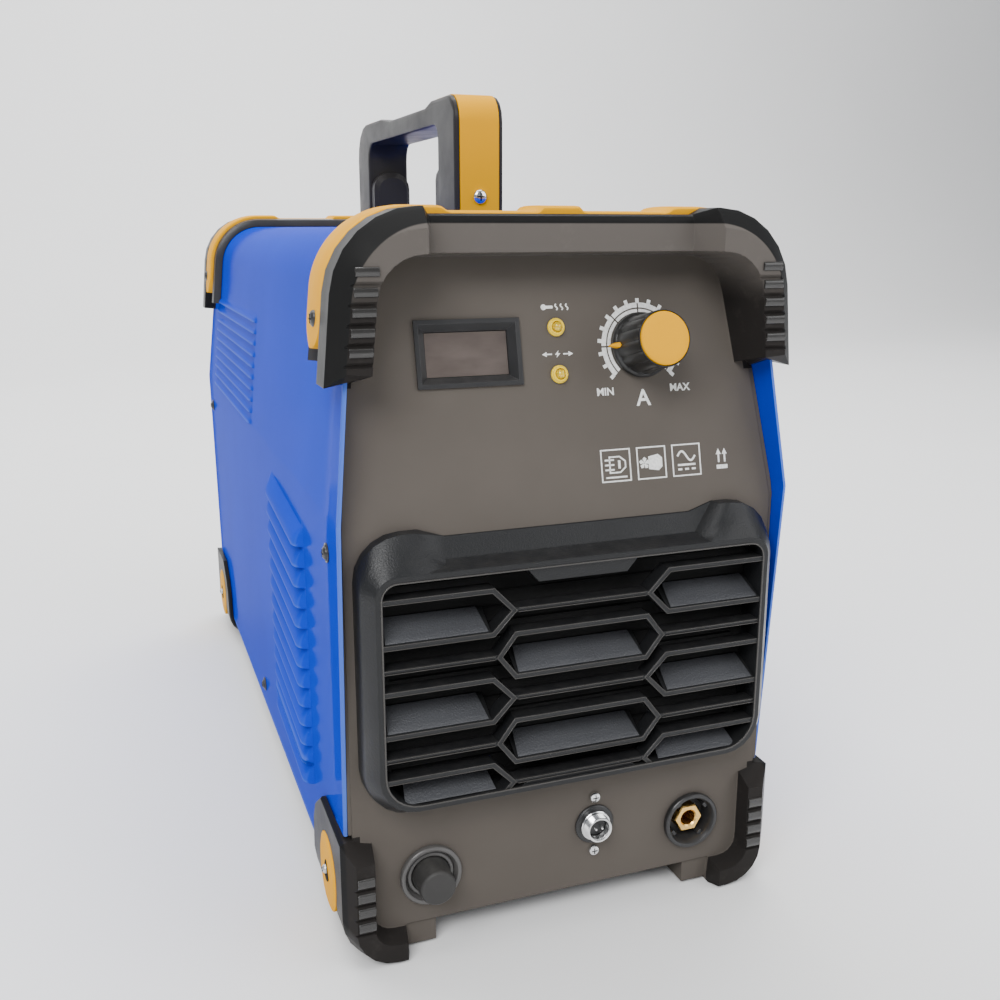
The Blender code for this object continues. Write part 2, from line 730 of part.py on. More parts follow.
def grille_hexagons():
    """Bars round each hexagon: three open ones each side, two closed ones in the centre."""
    bm = bmesh.new()
    for i in range(3):
        z = SIDE_HEX_Z - HEX_PITCH * i
        for sign in (-1, 1):
            path = [(sign * FRAME_X, z + HEX_HALF), (sign * SIDE_FLAT_X, z + HEX_HALF),
                    (sign * SIDE_TIP_X, z), (sign * SIDE_FLAT_X, z - HEX_HALF),
                    (sign * FRAME_X, z - HEX_HALF)]
            if i == 2:
                path = path[:3] + [(sign * (SIDE_TIP_X + 6.5), z - 6.4)]
            outline = ribbon(path, BAR_HALF)
            add_prism(bm, outline, FRONT + BAR_FRONT, FRONT + BAR_BACK, "Y")
    for i in range(2):
        z = CENTRE_HEX_Z - HEX_PITCH * i
        add_ring_prism(bm, hexagon(z, CENTRE_FLAT_X, CENTRE_TIP_X), BAR_HALF, BAR_FRONT, BAR_BACK)
    return add_object("tool_hexagons", bm, None)


def grille_links():
    """Thin bars from tip to tip and from the frame to the centre hexagons' tips."""
    bm = bmesh.new()
    low, high = BAR_FRONT + 0.4, BAR_BACK - 0.3
    for i in range(3):
        z = SIDE_HEX_Z - HEX_PITCH * i
        outline = ribbon([(-SIDE_TIP_X - 0.6, z), (SIDE_TIP_X + 0.6, z)], BAR_HALF * 0.9)
        add_prism(bm, outline, FRONT + low, FRONT + high, "Y")
    for i in range(2):
        z = CENTRE_HEX_Z - HEX_PITCH * i
        for sign in (-1, 1):
            ends = sorted((sign * FRAME_X, sign * (CENTRE_TIP_X - 0.6)))
            outline = ribbon([(ends[0], z), (ends[1], z)], BAR_HALF * 0.9)
            add_prism(bm, outline, FRONT + low, FRONT + high, "Y")
    return add_object("tool_links", bm, None)


def grille_floors():
    """Sloped floors that rise from the lower bar of each hexagon to its back."""
    bm = bmesh.new()

    def floor(x_low, x_high, z):
        rings = []
        for x in sorted((x_low, x_high)):
            rings.append([(x, FRONT - 6.6, z - 0.6), (x, FRONT - 6.6, z + 0.8),
                          (x, FRONT + 9.5, z + 9.6), (x, FRONT + 9.5, z + 7.8)])
        add_loft(bm, rings)
    for i in range(2):
        z = SIDE_HEX_Z - HEX_PITCH * i - HEX_HALF
        for sign in (-1, 1):
            floor(sign * FRAME_X, sign * (SIDE_FLAT_X + 0.7), z)
        floor(-CENTRE_FLAT_X + 0.7, CENTRE_FLAT_X - 0.7, CENTRE_HEX_Z - HEX_PITCH * i - HEX_HALF)
    return add_object("tool_floors", bm, None)


def grille_wedges():
    """Solid fills in the middle of the window's top and bottom edges."""
    bm = bmesh.new()
    for outline in ([(-33.0, 219.0), (-25.0, 209.5), (25.0, 209.5), (33.0, 219.0)],
                    [(-36.0, 95.0), (36.0, 95.0), (30.0, 98.8), (-30.0, 98.8)]):
        add_prism(bm, outline, FRONT + BAR_FRONT + 0.8, FRONT + 8.0, "Y")
    return add_object("tool_wedges", bm, None)


def front_grille():
    grille = grille_bezel()
    cut(grille, air_window("tool_window", 0.0, FRONT - 30.0, FRONT + 30.0))
    unite(grille, grille_hexagons())
    unite(grille, grille_links())
    unite(grille, grille_floors())
    unite(grille, grille_wedges())
    return grille


# ---------------------------------------------------------------- handle
def handle_profile():
    """Side view of the handle in (Y, Z): raised shoulders, flatter grip, open below."""
    front, rear = HANDLE_FRONT_Y, HANDLE_REAR_Y
    base, top, under = CASE_TOP + GAP, HANDLE_TOP_Z, GRIP_UNDER_Z
    points = [(front, base), (front, top), (front + 50, top), (front + 64, top - 3.2),
              (rear - 98, top - 3.2), (rear - 70, top), (rear, top), (rear, base),
              (rear - HANDLE_LEG, base), (rear - HANDLE_LEG, under),
              (front + HANDLE_LEG, under), (front + HANDLE_LEG, base)]
    radii = [0, 16, 5, 5, 5, 5, 26, 0, 0, 12, 9, 0]
    return rounded(points, radii, 4, closed=True)


def handle():
    bm = bmesh.new()
    add_prism(bm, handle_profile(), -HANDLE_HALF, HANDLE_HALF, "X")
    grip = add_object("handle", bm, "black_plastic")
    bevel = grip.modifiers.new("edge_round", "BEVEL")
    bevel.width = 2.2 * MM
    bevel.segments = 2
    bevel.limit_method = "ANGLE"
    bevel.angle_limit = math.radians(50)
    cut(grip, handle_band_channels())
    cut(grip, handle_screw_holes())
    return grip


def band_outline(rear, outer, inner):
    """Band of (Y, Z) round a shoulder: outer and inner are depths below the handle's surface."""
    sign = -1 if rear else 1
    start = HANDLE_REAR_Y if rear else HANDLE_FRONT_Y
    corner = 26.0 if rear else 16.0
    low, top = CASE_TOP + 6.0, HANDLE_TOP_Z
    length = 44.0 if rear else 46.0

    def side(depth):
        return rounded([(start + sign * depth, low), (start + sign * depth, top - depth),
                        (start + sign * length, top - depth)],
                       [0, max(corner - depth, 2.0), 0], 5)
    return side(outer) + side(inner)[::-1]


def handle_band_channels():
    bm = bmesh.new()
    for rear in (False, True):
        outline = band_outline(rear, -4.0, 2.3)
        low = CASE_TOP + 5.5
        outline = [(y, low if abs(z - CASE_TOP - 6.0) < 0.01 else z) for y, z in outline]
        add_prism(bm, outline, -12.8, 12.8, "X")
    return add_object("tool_band_channels", bm, None)


def handle_band(name, rear):
    """Yellow band that runs up the leg and over the shoulder."""
    bm = bmesh.new()
    add_prism(bm, band_outline(rear, -0.4, 2.0), -12.4, 12.4, "X")
    band = add_object(name, bm, "yellow_plastic")
    return cut(band, handle_screw_clearance(f"tool_{name}", rear))


SCREW_Z = CASE_TOP + 18.0


def screw_place(made, rear):
    y = HANDLE_REAR_Y if rear else HANDLE_FRONT_Y
    return place(made, 0.0, y, SCREW_Z, (math.pi / 2, 0.0, math.pi if rear else 0.0))


def handle_screw_clearance(name, rear):
    return screw_place(disc_tool(name, 3.0, 10.0, 16), rear)


def handle_screw_holes():
    bm = bmesh.new()
    for rear in (False, True):
        turn = Matrix.Rotation(math.pi, 4, "Z") if rear else Matrix.Identity(4)
        y = HANDLE_REAR_Y if rear else HANDLE_FRONT_Y
        start = len(bm.verts)
        add_turned(bm, [(0.0, -16.0), (2.8, -16.0), (2.8, 6.0), (0.0, 6.0)], 16)
        bm.verts.ensure_lookup_table()
        moved = bm.verts[start:]
        spin = Matrix.Translation((0.0, y, SCREW_Z)) @ turn @ Matrix.Rotation(math.pi / 2, 4, "X")
        bmesh.ops.transform(bm, matrix=spin, verts=moved)
    return add_object("tool_handle_screw_holes", bm, None)


def handle_screw(name, rear):
    """Pan-head screw through the foot of a band."""
    bm = bmesh.new()
    add_turned(bm, [(0.0, -15.0), (2.5, -15.0), (2.5, 0.7), (4.5, 0.7), (4.3, 2.2), (2.8, 3.4),
                    (0.0, 3.7)], 16)
    return screw_place(add_object(name, bm, "chrome"), rear)


def handle_bracket(name, rear):
    """Dome-topped foot inside each leg of the handle."""
    sign = -1 if rear else 1
    leg = (HANDLE_REAR_Y if rear else HANDLE_FRONT_Y) + sign * (HANDLE_LEG + GAP)
    base, top = CASE_TOP + GAP, CASE_TOP + 41.0
    half = 14.0
    outline = rounded([(-half, base), (half, base), (half, top), (-half, top)],
                      [0, 0, 12, 12], 5, closed=True)
    middle = (base + top) / 2
    bm = bmesh.new()
    rings = []
    for reach, scale in ((0.0, 1.0), (9.0, 1.0), (12.5, 0.8)):
        rings.append([(x * scale, leg + sign * reach,
                       base if z == base else middle + (z - middle) * scale)
                      for x, z in outline])
    add_loft(bm, rings)
    return add_object(name, bm, "black_plastic")


def handle_holes():
    """Bolt holes through the cover's top under the handle's legs."""
    bm = bmesh.new()
    for y in (HANDLE_FRONT_Y + HANDLE_LEG / 2, HANDLE_REAR_Y - HANDLE_LEG / 2):
        start = len(bm.verts)
        add_turned(bm, [(0.0, CASE_TOP - 8), (3.2, CASE_TOP - 8), (3.2, CASE_TOP + 8),
                        (0.0, CASE_TOP + 8)], 12)
        bm.verts.ensure_lookup_table()
        bmesh.ops.translate(bm, vec=(0.0, y, 0.0), verts=bm.verts[start:])
    return add_object("tool_handle_holes", bm, None)


# ---------------------------------------------------------------- control panel
def rectangle(width, height, z):
    return [(-width / 2, -height / 2, z), (width / 2, -height / 2, z),
            (width / 2, height / 2, z), (-width / 2, height / 2, z)]


def display_bezel():
    bm = bmesh.new()
    add_loft(bm, [rectangle(56.5, 34.4, GAP), rectangle(56.5, 34.4, 1.5),
                  rectangle(52.0, 30.0, 1.5), rectangle(44.5, 23.0, -2.6),
                  rectangle(44.5, 23.0, -7.0), rectangle(52.4, 30.4, -7.0),
                  rectangle(52.4, 30.4, GAP)], cyclic=True)
    return control_frame(add_object("display_bezel", bm, "black_plastic"), DISPLAY_X, DISPLAY_S)


def display_window():
    bm = bmesh.new()
    add_box(bm, (-22.0, 22.0), (-11.2, 11.2), (-5.0, -3.0))
    return control_frame(add_object("display_window", bm, "dark_window"), DISPLAY_X, DISPLAY_S)


def display_board():
    """Meter board with its raised digit block."""
    bm = bmesh.new()
    add_loft(bm, [rectangle(60.0, 36.0, -9.2), rectangle(60.0, 36.0, -7.6),
                  rectangle(40.0, 18.0, -7.6), rectangle(40.0, 18.0, -5.4)])
    return control_frame(add_object("display_board", bm, "board_green"), DISPLAY_X, DISPLAY_S)


def led_bezel(name, s):
    bm = bmesh.new()
    add_turned(bm, [(2.9, -6.0), (3.8, -6.0), (3.8, GAP), (4.7, GAP), (4.7, 1.4), (4.0, 2.6),
                    (2.9, 2.6)], 16)
    return control_frame(add_object(name, bm, "yellow_plastic"), LED_X, s)


def led_lens(name, s):
    bm = bmesh.new()
    add_turned(bm, [(0.0, -5.5), (2.5, -5.5), (2.5, 2.2), (2.0, 3.5), (1.1, 4.3), (0.0, 4.6)], 16)
    return control_frame(add_object(name, bm, "amber_lens"), LED_X, s)


def current_knob():
    bm = bmesh.new()
    add_turned(bm, [(0.0, 20.0), (3.4, 20.0), (3.4, 1.0), (17.4, 1.0), (17.4, 3.0), (15.6, 4.6),
                    (14.9, 27.2), (14.3, 27.2), (14.3, 25.4), (0.0, 25.4)], 32)
    return control_frame(add_object("current_knob", bm, "knob_black"), DIAL_X, DIAL_S)


def knob_cap():
    bm = bmesh.new()
    add_turned(bm, [(0.0, 25.7), (14.0, 25.7), (14.0, 28.2), (13.2, 29.0), (0.0, 29.2)], 32)
    return control_frame(add_object("knob_cap", bm, "yellow_plastic"), DIAL_X, DIAL_S)


def knob_pointer():
    """Small wedge on the skirt that points just below nine o'clock."""
    bm = bmesh.new()
    outline = [(-15.95, -1.6), (-15.95, 1.6), (-19.4, 0.0)]
    add_prism(bm, outline, 4.9, 6.4)
    return control_frame(add_object("knob_pointer", bm, "yellow_plastic"), DIAL_X, DIAL_S)


def potentiometer_shaft():
    bm = bmesh.new()
    add_turned(bm, [(0.0, -18.0), (3.0, -18.0), (3.0, 19.6), (0.0, 19.6)], 16)
    return control_frame(add_object("potentiometer_shaft", bm, "steel"), DIAL_X, DIAL_S)


def potentiometer():
    """Body behind the panel and threaded bush through it."""
    bm = bmesh.new()
    add_turned(bm, [(0.0, -22.0), (8.5, -22.0), (8.5, -PANEL_THICK - 1.0),
                    (4.4, -PANEL_THICK - 1.0), (4.4, 0.6), (3.3, 0.6), (3.3, -18.3),
                    (0.0, -18.3)], 24)
    return control_frame(add_object("potentiometer", bm, "steel"), DIAL_X, DIAL_S)


# ---------------------------------------------------------------- sockets
def control_socket():
    """Threaded metal shell with its front ring."""
    bm = bmesh.new()
    add_turned(bm, [(5.6, -9.0), (7.4, -9.0), (7.4, GAP), (11.8, GAP), (11.8, 1.8), (8.8, 1.8),
                    (8.8, 3.6), (7.5, 3.9), (7.5, 8.0), (6.9, 8.6), (5.6, 8.6)], 24)
    return socket_frame(add_object("control_socket", bm, "chrome"), CONTROL_X, CONTROL_Z)


def control_insert():
    bm = bmesh.new()
    add_turned(bm, [(0.0, -10.5), (5.3, -10.5), (5.3, 3.6), (0.0, 3.6)], 20)
    return socket_frame(add_object("control_insert", bm, "sleeve_black"), CONTROL_X, CONTROL_Z)


def control_screw(name, sign):
    bm = bmesh.new()
    add_turned(bm, [(0.0, -8.0), (1.6, -8.0), (1.6, GAP), (3.3, GAP), (3.1, 1.6), (1.8, 2.4),
                    (0.0, 2.6)], 14)
    made = add_object(name, bm, "chrome")
    return socket_frame(made, CONTROL_X, CONTROL_Z + sign * CONTROL_SCREW_PITCH)


def output_socket(name, sign):
    """Insulating body: round rim on the panel and a cup round the contact."""
    bm = bmesh.new()
    add_turned(bm, [(7.6, -34.0), (14.2, -34.0), (14.2, GAP), (17.0, GAP), (17.0, 2.6),
                    (16.0, 3.6), (14.4, 3.6), (13.2, 1.6), (13.2, -9.0), (7.6, -9.0)], 32)
    return socket_frame(add_object(name, bm, "black_plastic"), sign * OUTPUT_X, OUTPUT_Z)


def output_contact(name, sign):
    """Brass bush: round shank, hexagonal front and the bore for the plug."""
    bm = bmesh.new()
    add_turned(bm, [(0.0, -44.0), (7.2, -44.0), (7.2, -1.5), (4.6, -1.5), (4.6, -26.0),
                    (0.0, -26.0)], 24)
    return socket_frame(add_object(name, bm, "brass"), sign * OUTPUT_X, OUTPUT_Z)


def output_cap():
    """Push-in cover in the left socket: round head and a stem in the contact."""
    bm = bmesh.new()
    add_turned(bm, [(0.0, -20.0), (4.2, -20.0), (4.2, -1.0), (9.6, -1.0), (10.2, 0.0),
                    (9.9, 14.6), (8.9, 16.0), (0.0, 16.4)], 24)
    return socket_frame(add_object("output_cap", bm, "sleeve_black"), -OUTPUT_X, OUTPUT_Z)


# ---------------------------------------------------------------- rear
def fan_frame():
    """Square fan housing behind the rear panel, with a round duct and three arms."""
    half = FAN_SIZE / 2
    low, high = -PANEL_THICK - GAP - FAN_DEPTH, -PANEL_THICK - GAP
    bm = bmesh.new()
    segments = 32
    inner, outer = [], []
    for i in range(segments):
        angle = 2.0 * math.pi * (i + 0.5) / segments
        direction = Vector((math.cos(angle), math.sin(angle)))
        reach = min(half / max(abs(direction.x), abs(direction.y)), half * 1.34)
        inner.append((direction.x * 70.0, direction.y * 70.0))
        outer.append((direction.x * reach, direction.y * reach))
    rings = []
    for outline, level in ((outer, low), (outer, high), (inner, high), (inner, low)):
        rings.append([(x, y, level) for x, y in outline])
    add_loft(bm, rings, cyclic=True)
    frame = add_object("fan_frame", bm, "black_plastic")
    unite(frame, rear_frame(fan_spider(low), 0.0, FAN_Z))
    return rear_frame(frame, 0.0, FAN_Z)


def fan_spider(low):
    """Motor plate carried on arms at the inner end of the duct."""
    bm = bmesh.new()
    hub = [(26.0 * math.cos(math.tau * i / 12), 26.0 * math.sin(math.tau * i / 12))
           for i in range(12)]
    add_prism(bm, hub, low + 0.4, low + 7.0)
    arms = add_object("tool_fan_hub", bm, None)
    for i in range(3):
        bm = bmesh.new()
        add_box(bm, (20.0, 72.0), (-3.0, 3.0), (low + 0.8, low + 5.0))
        bmesh.ops.rotate(bm, cent=(0.0, 0.0, 0.0), verts=bm.verts,
                         matrix=Matrix.Rotation(math.tau * (i + 0.25) / 3, 3, "Z"))
        arm = add_object(f"tool_fan_arm_{i}", bm, None)
        rear_frame(arm, 0.0, FAN_Z)
        unite(arms, arm)
    return arms


def fan_rotor():
    """Seven twisted blades on a round hub."""
    low = -PANEL_THICK - GAP - FAN_DEPTH + 8.0
    bm = bmesh.new()
    add_turned(bm, [(0.0, low), (24.0, low), (24.0, low + 24.0), (22.0, low + 26.0),
                    (0.0, low + 26.0)], 28)
    rotor = add_object("fan_rotor", bm, "sleeve_black")
    blades = bmesh.new()
    for i in range(7):
        base = math.tau * i / 7
        rings = []
        for radius, twist in ((22.5, 0.36), (45.0, 0.30), (66.0, 0.24)):
            ring = []
            for height, lead in ((low + 3.0, -1.0), (low + 23.0, 1.0)):
                for thick in (-0.9, 0.9):
                    angle = base + twist * lead + thick / radius
                    ring.append((radius * math.cos(angle), radius * math.sin(angle), height))
            rings.append([ring[0], ring[1], ring[3], ring[2]])
        add_loft(blades, rings)
    tool = rear_frame(add_object("tool_fan_blades", blades, None), 0.0, FAN_Z)
    unite(rotor, tool)
    return rear_frame(rotor, 0.0, FAN_Z)


def fan_guard():
    """Pressed guard: three rings on four spokes, standing just off the rear panel."""
    bm = bmesh.new()
    for i in range(4):
        angle = math.tau * (i + 0.5) / 4
        along = Vector((math.cos(angle), math.sin(angle)))
        across = Vector((-along.y, along.x)) * 1.2
        rings = []
        for radius in (6.0, 78.0):
            point = along * radius
            rings.append([(point.x - across.x, point.y - across.y, 1.2),
                          (point.x + across.x, point.y + across.y, 1.2),
                          (point.x + across.x, point.y + across.y, 3.4),
                          (point.x - across.x, point.y - across.y, 3.4)])
        add_loft(bm, rings)
    spokes = rear_frame(add_object("tool_guard_spokes", bm, None), 0.0, FAN_Z)
    bm = bmesh.new()
    for radius in (20.0, 47.0, 74.0):
        add_turned(bm, [(radius - 1.3, 0.9), (radius + 1.3, 0.9), (radius + 1.3, 3.1),
                        (radius - 1.3, 3.1)], 28)
    guard = rear_frame(add_object("fan_guard", bm, "steel"), 0.0, FAN_Z)
    return unite(guard, spokes)


def breaker_body():
    """Moulded three-pole breaker that stands through the rear panel."""
    bm = bmesh.new()
    profile = [(-37.0, -40.0), (37.0, -40.0), (37.0, 2.0), (23.0, 2.0), (23.0, 12.0),
               (8.0, 12.0), (8.0, 4.0), (-8.0, 4.0), (-8.0, 12.0), (-23.0, 12.0),
               (-23.0, 2.0), (-37.0, 2.0)]
    add_prism(bm, profile, -26.8, 26.8, "X")
    body = add_object("breaker_body", bm, "sleeve_black")
    return rear_frame(body, BREAKER_X, BREAKER_Z)


BREAKER_REST = math.radians(20.0)
BREAKER_PIVOT = 6.0             # pivot height of the lever behind the rear panel face


def breaker_lever():
    """Rocking lever across the three poles; its origin is on its pivot."""
    bm = bmesh.new()
    outline = [(-3.2, -0.4), (3.2, -0.4), (2.2, 12.5), (-2.2, 12.5)]
    add_prism(bm, outline, -24.0, 24.0, "X")
    lever = add_object("breaker_lever", bm, "red_plastic")
    y = REAR - REAR_PANEL_Y + BREAKER_PIVOT
    return place(lever, BREAKER_X, y, BREAKER_Z, (math.pi / 2 + BREAKER_REST, 0.0, math.pi))


def cable_gland():
    """Compression gland for the mains lead: dome with an open bore."""
    bm = bmesh.new()
    add_turned(bm, [(8.0, -16.0), (15.8, -16.0), (15.8, GAP), (20.5, GAP), (20.5, 6.0),
                    (17.5, 6.6), (17.0, 16.0), (13.0, 19.5), (8.0, 20.0)], 24)
    return rear_frame(add_object("cable_gland", bm, "black_plastic"), GLAND_X, GLAND_Z)


def gland_nut():
    """Hexagonal lock nut inside the rear panel."""
    bm = bmesh.new()
    add_turned(bm, [(16.2, -PANEL_THICK - 6.0), (22.0, -PANEL_THICK - 6.0),
                    (22.0, -PANEL_THICK - GAP), (16.2, -PANEL_THICK - GAP)], 6)
    nut = add_object("gland_nut", bm, "black_plastic")
    bore = rear_frame(disc_tool("tool_gland_bore", 16.2, 30.0), GLAND_X, GLAND_Z)
    rear_frame(nut, GLAND_X, GLAND_Z)
    return cut(nut, bore)


def ground_bolt():
    bm = bmesh.new()
    add_turned(bm, [(0.0, -14.0), (4.0, -14.0), (4.0, GAP), (7.4, GAP), (7.4, 5.4), (4.0, 5.8),
                    (4.0, 14.0), (3.2, 15.0), (0.0, 15.0)], 18)
    return rear_frame(add_object("ground_bolt", bm, "brass"), GROUND_X, GROUND_Z)


# ---------------------------------------------------------------- inside
FLOOR_Z = CASE_BOTTOM - 6.0 + SHEET + GAP
BOARD_Z = FLOOR_Z + 112.0 + GAP


def heatsink(name, sign):
    """Finned extrusion along one side of the air duct."""
    base_x, tip_x = sign * 34.0, sign * 84.0
    outline = [(base_x, FLOOR_Z)]
    fins = 7
    thick = 4.0
    pitch = (112.0 - thick) / (fins - 1)
    for i in range(fins):
        z = FLOOR_Z + pitch * i
        outline += [(tip_x, z), (tip_x, z + thick), (base_x + sign * 7.0, z + thick)]
        if i < fins - 1:
            outline.append((base_x + sign * 7.0, z + pitch))
    outline[-1] = (base_x, outline[-1][1])
    bm = bmesh.new()
    add_prism(bm, outline, -70.0, 110.0, "Y")
    return add_object(name, bm, "aluminium")


def power_board():
    bm = bmesh.new()
    add_box(bm, (-92.0, 92.0), (-90.0, 150.0), (BOARD_Z, BOARD_Z + 2.0))
    return add_object("power_board", bm, "board_green")


def control_board():
    bm = bmesh.new()
    add_box(bm, (-80.0, 80.0), (-206.0, -204.4), (256.0, 346.0))
    return add_object("control_board", bm, "board_green")


def transformer_core():
    """E-core seen from the side: two windows round the centre leg."""
    bm = bmesh.new()
    add_box(bm, (-42.0, 42.0), (-28.0, 28.0), (0.0, 84.0))
    core = place(add_object("transformer_core", bm, "ferrite"), 0.0, -150.0, FLOOR_Z)
    for i, sign in enumerate((-1, 1)):
        bm = bmesh.new()
        xs = sorted((sign * 14.0, sign * 30.0))
        add_box(bm, xs, (-40.0, 40.0), (14.0, 70.0))
        window = place(add_object(f"tool_core_window_{i}", bm, None), 0.0, -150.0, FLOOR_Z)
        cut(core, window)
    return core


def transformer_coil():
    """Winding round the centre leg of the core, standing out at both faces."""
    def ring(x, y, z):
        return [(-x, -y, z), (x, -y, z), (x, y, z), (-x, y, z)]
    bm = bmesh.new()
    add_loft(bm, [ring(29.0, 42.0, 16.0), ring(29.0, 42.0, 68.0),
                  ring(14.4, 28.4, 68.0), ring(14.4, 28.4, 16.0)], cyclic=True)
    coil = add_object("transformer_coil", bm, "copper")
    return place(coil, 0.0, -150.0, FLOOR_Z)


def output_choke():
    """Toroid choke standing in front of the transformer."""
    bm = bmesh.new()
    add_turned(bm, [(12.0, 0.0), (28.0, 0.0), (32.0, 4.0), (32.0, 22.0), (28.0, 26.0),
                    (12.0, 26.0)], 24)
    choke = add_object("output_choke", bm, "copper")
    return place(choke, 82.0, -150.0, FLOOR_Z)


def capacitor(name, index):
    bm = bmesh.new()
    add_turned(bm, [(0.0, 0.0), (17.5, 0.0), (17.5, 52.0), (16.0, 54.0), (0.0, 54.0)], 20)
    return place(add_object(name, bm, "sleeve_black"), 46.0 * (index - 1), 118.0,
                 BOARD_Z + 2.0 + GAP)


def rectifier_module():
    bm = bmesh.new()
    add_box(bm, (-30.0, 30.0), (-40.0, 50.0), (BOARD_Z + 2.0 + GAP, BOARD_Z + 26.0))
    return add_object("rectifier_module", bm, "sleeve_black")


# ---------------------------------------------------------------- build
def build():
    clear_scene()
    base_pan()
    cover_shell()
    front_moulding()
    front_grille()
    rear_moulding()
    trim("front_trim", False)
    trim("rear_trim", True)
    for end, rear in (("front", False), ("rear", True)):
        foot_insert(f"foot_insert_{end}_left", -1, rear)
        foot_insert(f"foot_insert_{end}_right", 1, rear)
        handle_band(f"handle_band_{end}", rear)
        handle_screw(f"handle_screw_{end}", rear)
        handle_bracket(f"handle_bracket_{end}", rear)
    handle()
    display_bezel()
    display_window()
    display_board()
    for warning, s in (("overheat", LED_UPPER_S), ("overcurrent", LED_LOWER_S)):
        led_bezel(f"{warning}_led_bezel", s)
        led_lens(f"{warning}_led", s)
    current_knob()
    knob_cap()
    knob_pointer()
    potentiometer_shaft()
    potentiometer()
    control_socket()
    control_insert()
    control_screw("control_screw_upper", 1)
    control_screw("control_screw_lower", -1)
    for side, sign in (("left", -1), ("right", 1)):
        output_socket(f"output_socket_{side}", sign)
        output_contact(f"output_contact_{side}", sign)
        heatsink(f"heatsink_{side}", sign)
    output_cap()
    fan_frame()
    fan_rotor()
    fan_guard()
    breaker_body()
    breaker_lever()
    cable_gland()
    gland_nut()
    ground_bolt()
    power_board()
    control_board()
    transformer_core()
    transformer_coil()
    output_choke()
    for index in range(3):
        capacitor(f"capacitor_{index + 1}", index)
    rectifier_module()


build()
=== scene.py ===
"""Looks of the stick welding inverter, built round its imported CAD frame. Metres throughout."""
import json
import math

import bmesh
import bpy
from mathutils import Matrix, Vector


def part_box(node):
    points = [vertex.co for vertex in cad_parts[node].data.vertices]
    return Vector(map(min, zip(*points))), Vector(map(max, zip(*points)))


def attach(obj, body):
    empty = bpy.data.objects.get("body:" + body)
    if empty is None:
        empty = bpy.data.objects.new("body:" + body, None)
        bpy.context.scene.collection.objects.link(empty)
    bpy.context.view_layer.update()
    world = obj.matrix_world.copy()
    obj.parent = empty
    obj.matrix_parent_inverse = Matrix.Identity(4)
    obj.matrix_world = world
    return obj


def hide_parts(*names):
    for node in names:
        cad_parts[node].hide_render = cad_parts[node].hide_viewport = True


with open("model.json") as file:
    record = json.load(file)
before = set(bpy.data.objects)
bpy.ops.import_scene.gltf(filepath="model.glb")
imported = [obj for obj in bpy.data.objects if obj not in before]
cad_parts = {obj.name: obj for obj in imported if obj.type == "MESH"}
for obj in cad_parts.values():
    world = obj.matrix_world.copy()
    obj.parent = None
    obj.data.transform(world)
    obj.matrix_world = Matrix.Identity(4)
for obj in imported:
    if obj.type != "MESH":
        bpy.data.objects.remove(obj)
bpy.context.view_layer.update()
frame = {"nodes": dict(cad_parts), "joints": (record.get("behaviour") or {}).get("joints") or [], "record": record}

NODES = frame["nodes"]
MM = 0.001

# ---- places taken from the frame
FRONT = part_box("front_moulding")[0].y            # guard face
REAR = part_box("rear_moulding")[1].y
PANEL_SETBACK, REAR_SETBACK = 11 * MM, 22 * MM
PANEL_Y = FRONT + PANEL_SETBACK                  # socket panel
REAR_PANEL = REAR - REAR_SETBACK
KNOB_JOINT = next(j for j in frame["joints"] if j["name"] == "knob_turn")
PANEL_NORMAL = Vector(KNOB_JOINT["axis"]).normalized()
PANEL_SLOPE = -PANEL_NORMAL.z / PANEL_NORMAL.y
NOSE_Z = 238.7 * MM                              # where the control panel starts to lean back
DIAL = Vector(KNOB_JOINT["pos_m"])
CASE_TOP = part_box("handle")[0].z
CASE_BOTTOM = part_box("cover_shell")[0].z
CASE_HALF = 125.5 * MM                           # plain wall of the cover
BEND_Z = 0.245                                   # above this the sides lean in
FLARE = 0.11
CORNER = 34 * MM
SHEET = 1.4 * MM
GUARD_LEG_Z = 0.3078                             # lower end of the upper guards
COVER_STEP_Z = 0.3165                            # the cover runs up behind the guards' ends
FOOT_TOP_Z = 0.0741
LEG_WIDTH = 7.5 * MM                             # guards and feet reach this far over the panel
HOOD_Z = 0.3685                                  # the control panel ends under the hood
HOOD_FADE_Z, HOOD_FULL_Z = 0.345, 0.366          # painted shade: the darker tone painted on the guards and feet below this turns into the hood's grey
RIGHT, UP = (1, 0, 0), (0, 0, 1)
SIDES = ((-1, "left"), (1, "right"))
INK_LOW, INK_HIGH = 0.03, 0.15                   # printed ink stands this far off the panel, mm
TRIM_TIP_Z = 0.325
FOOT_FACE_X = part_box("foot_insert_front_right")[1].x


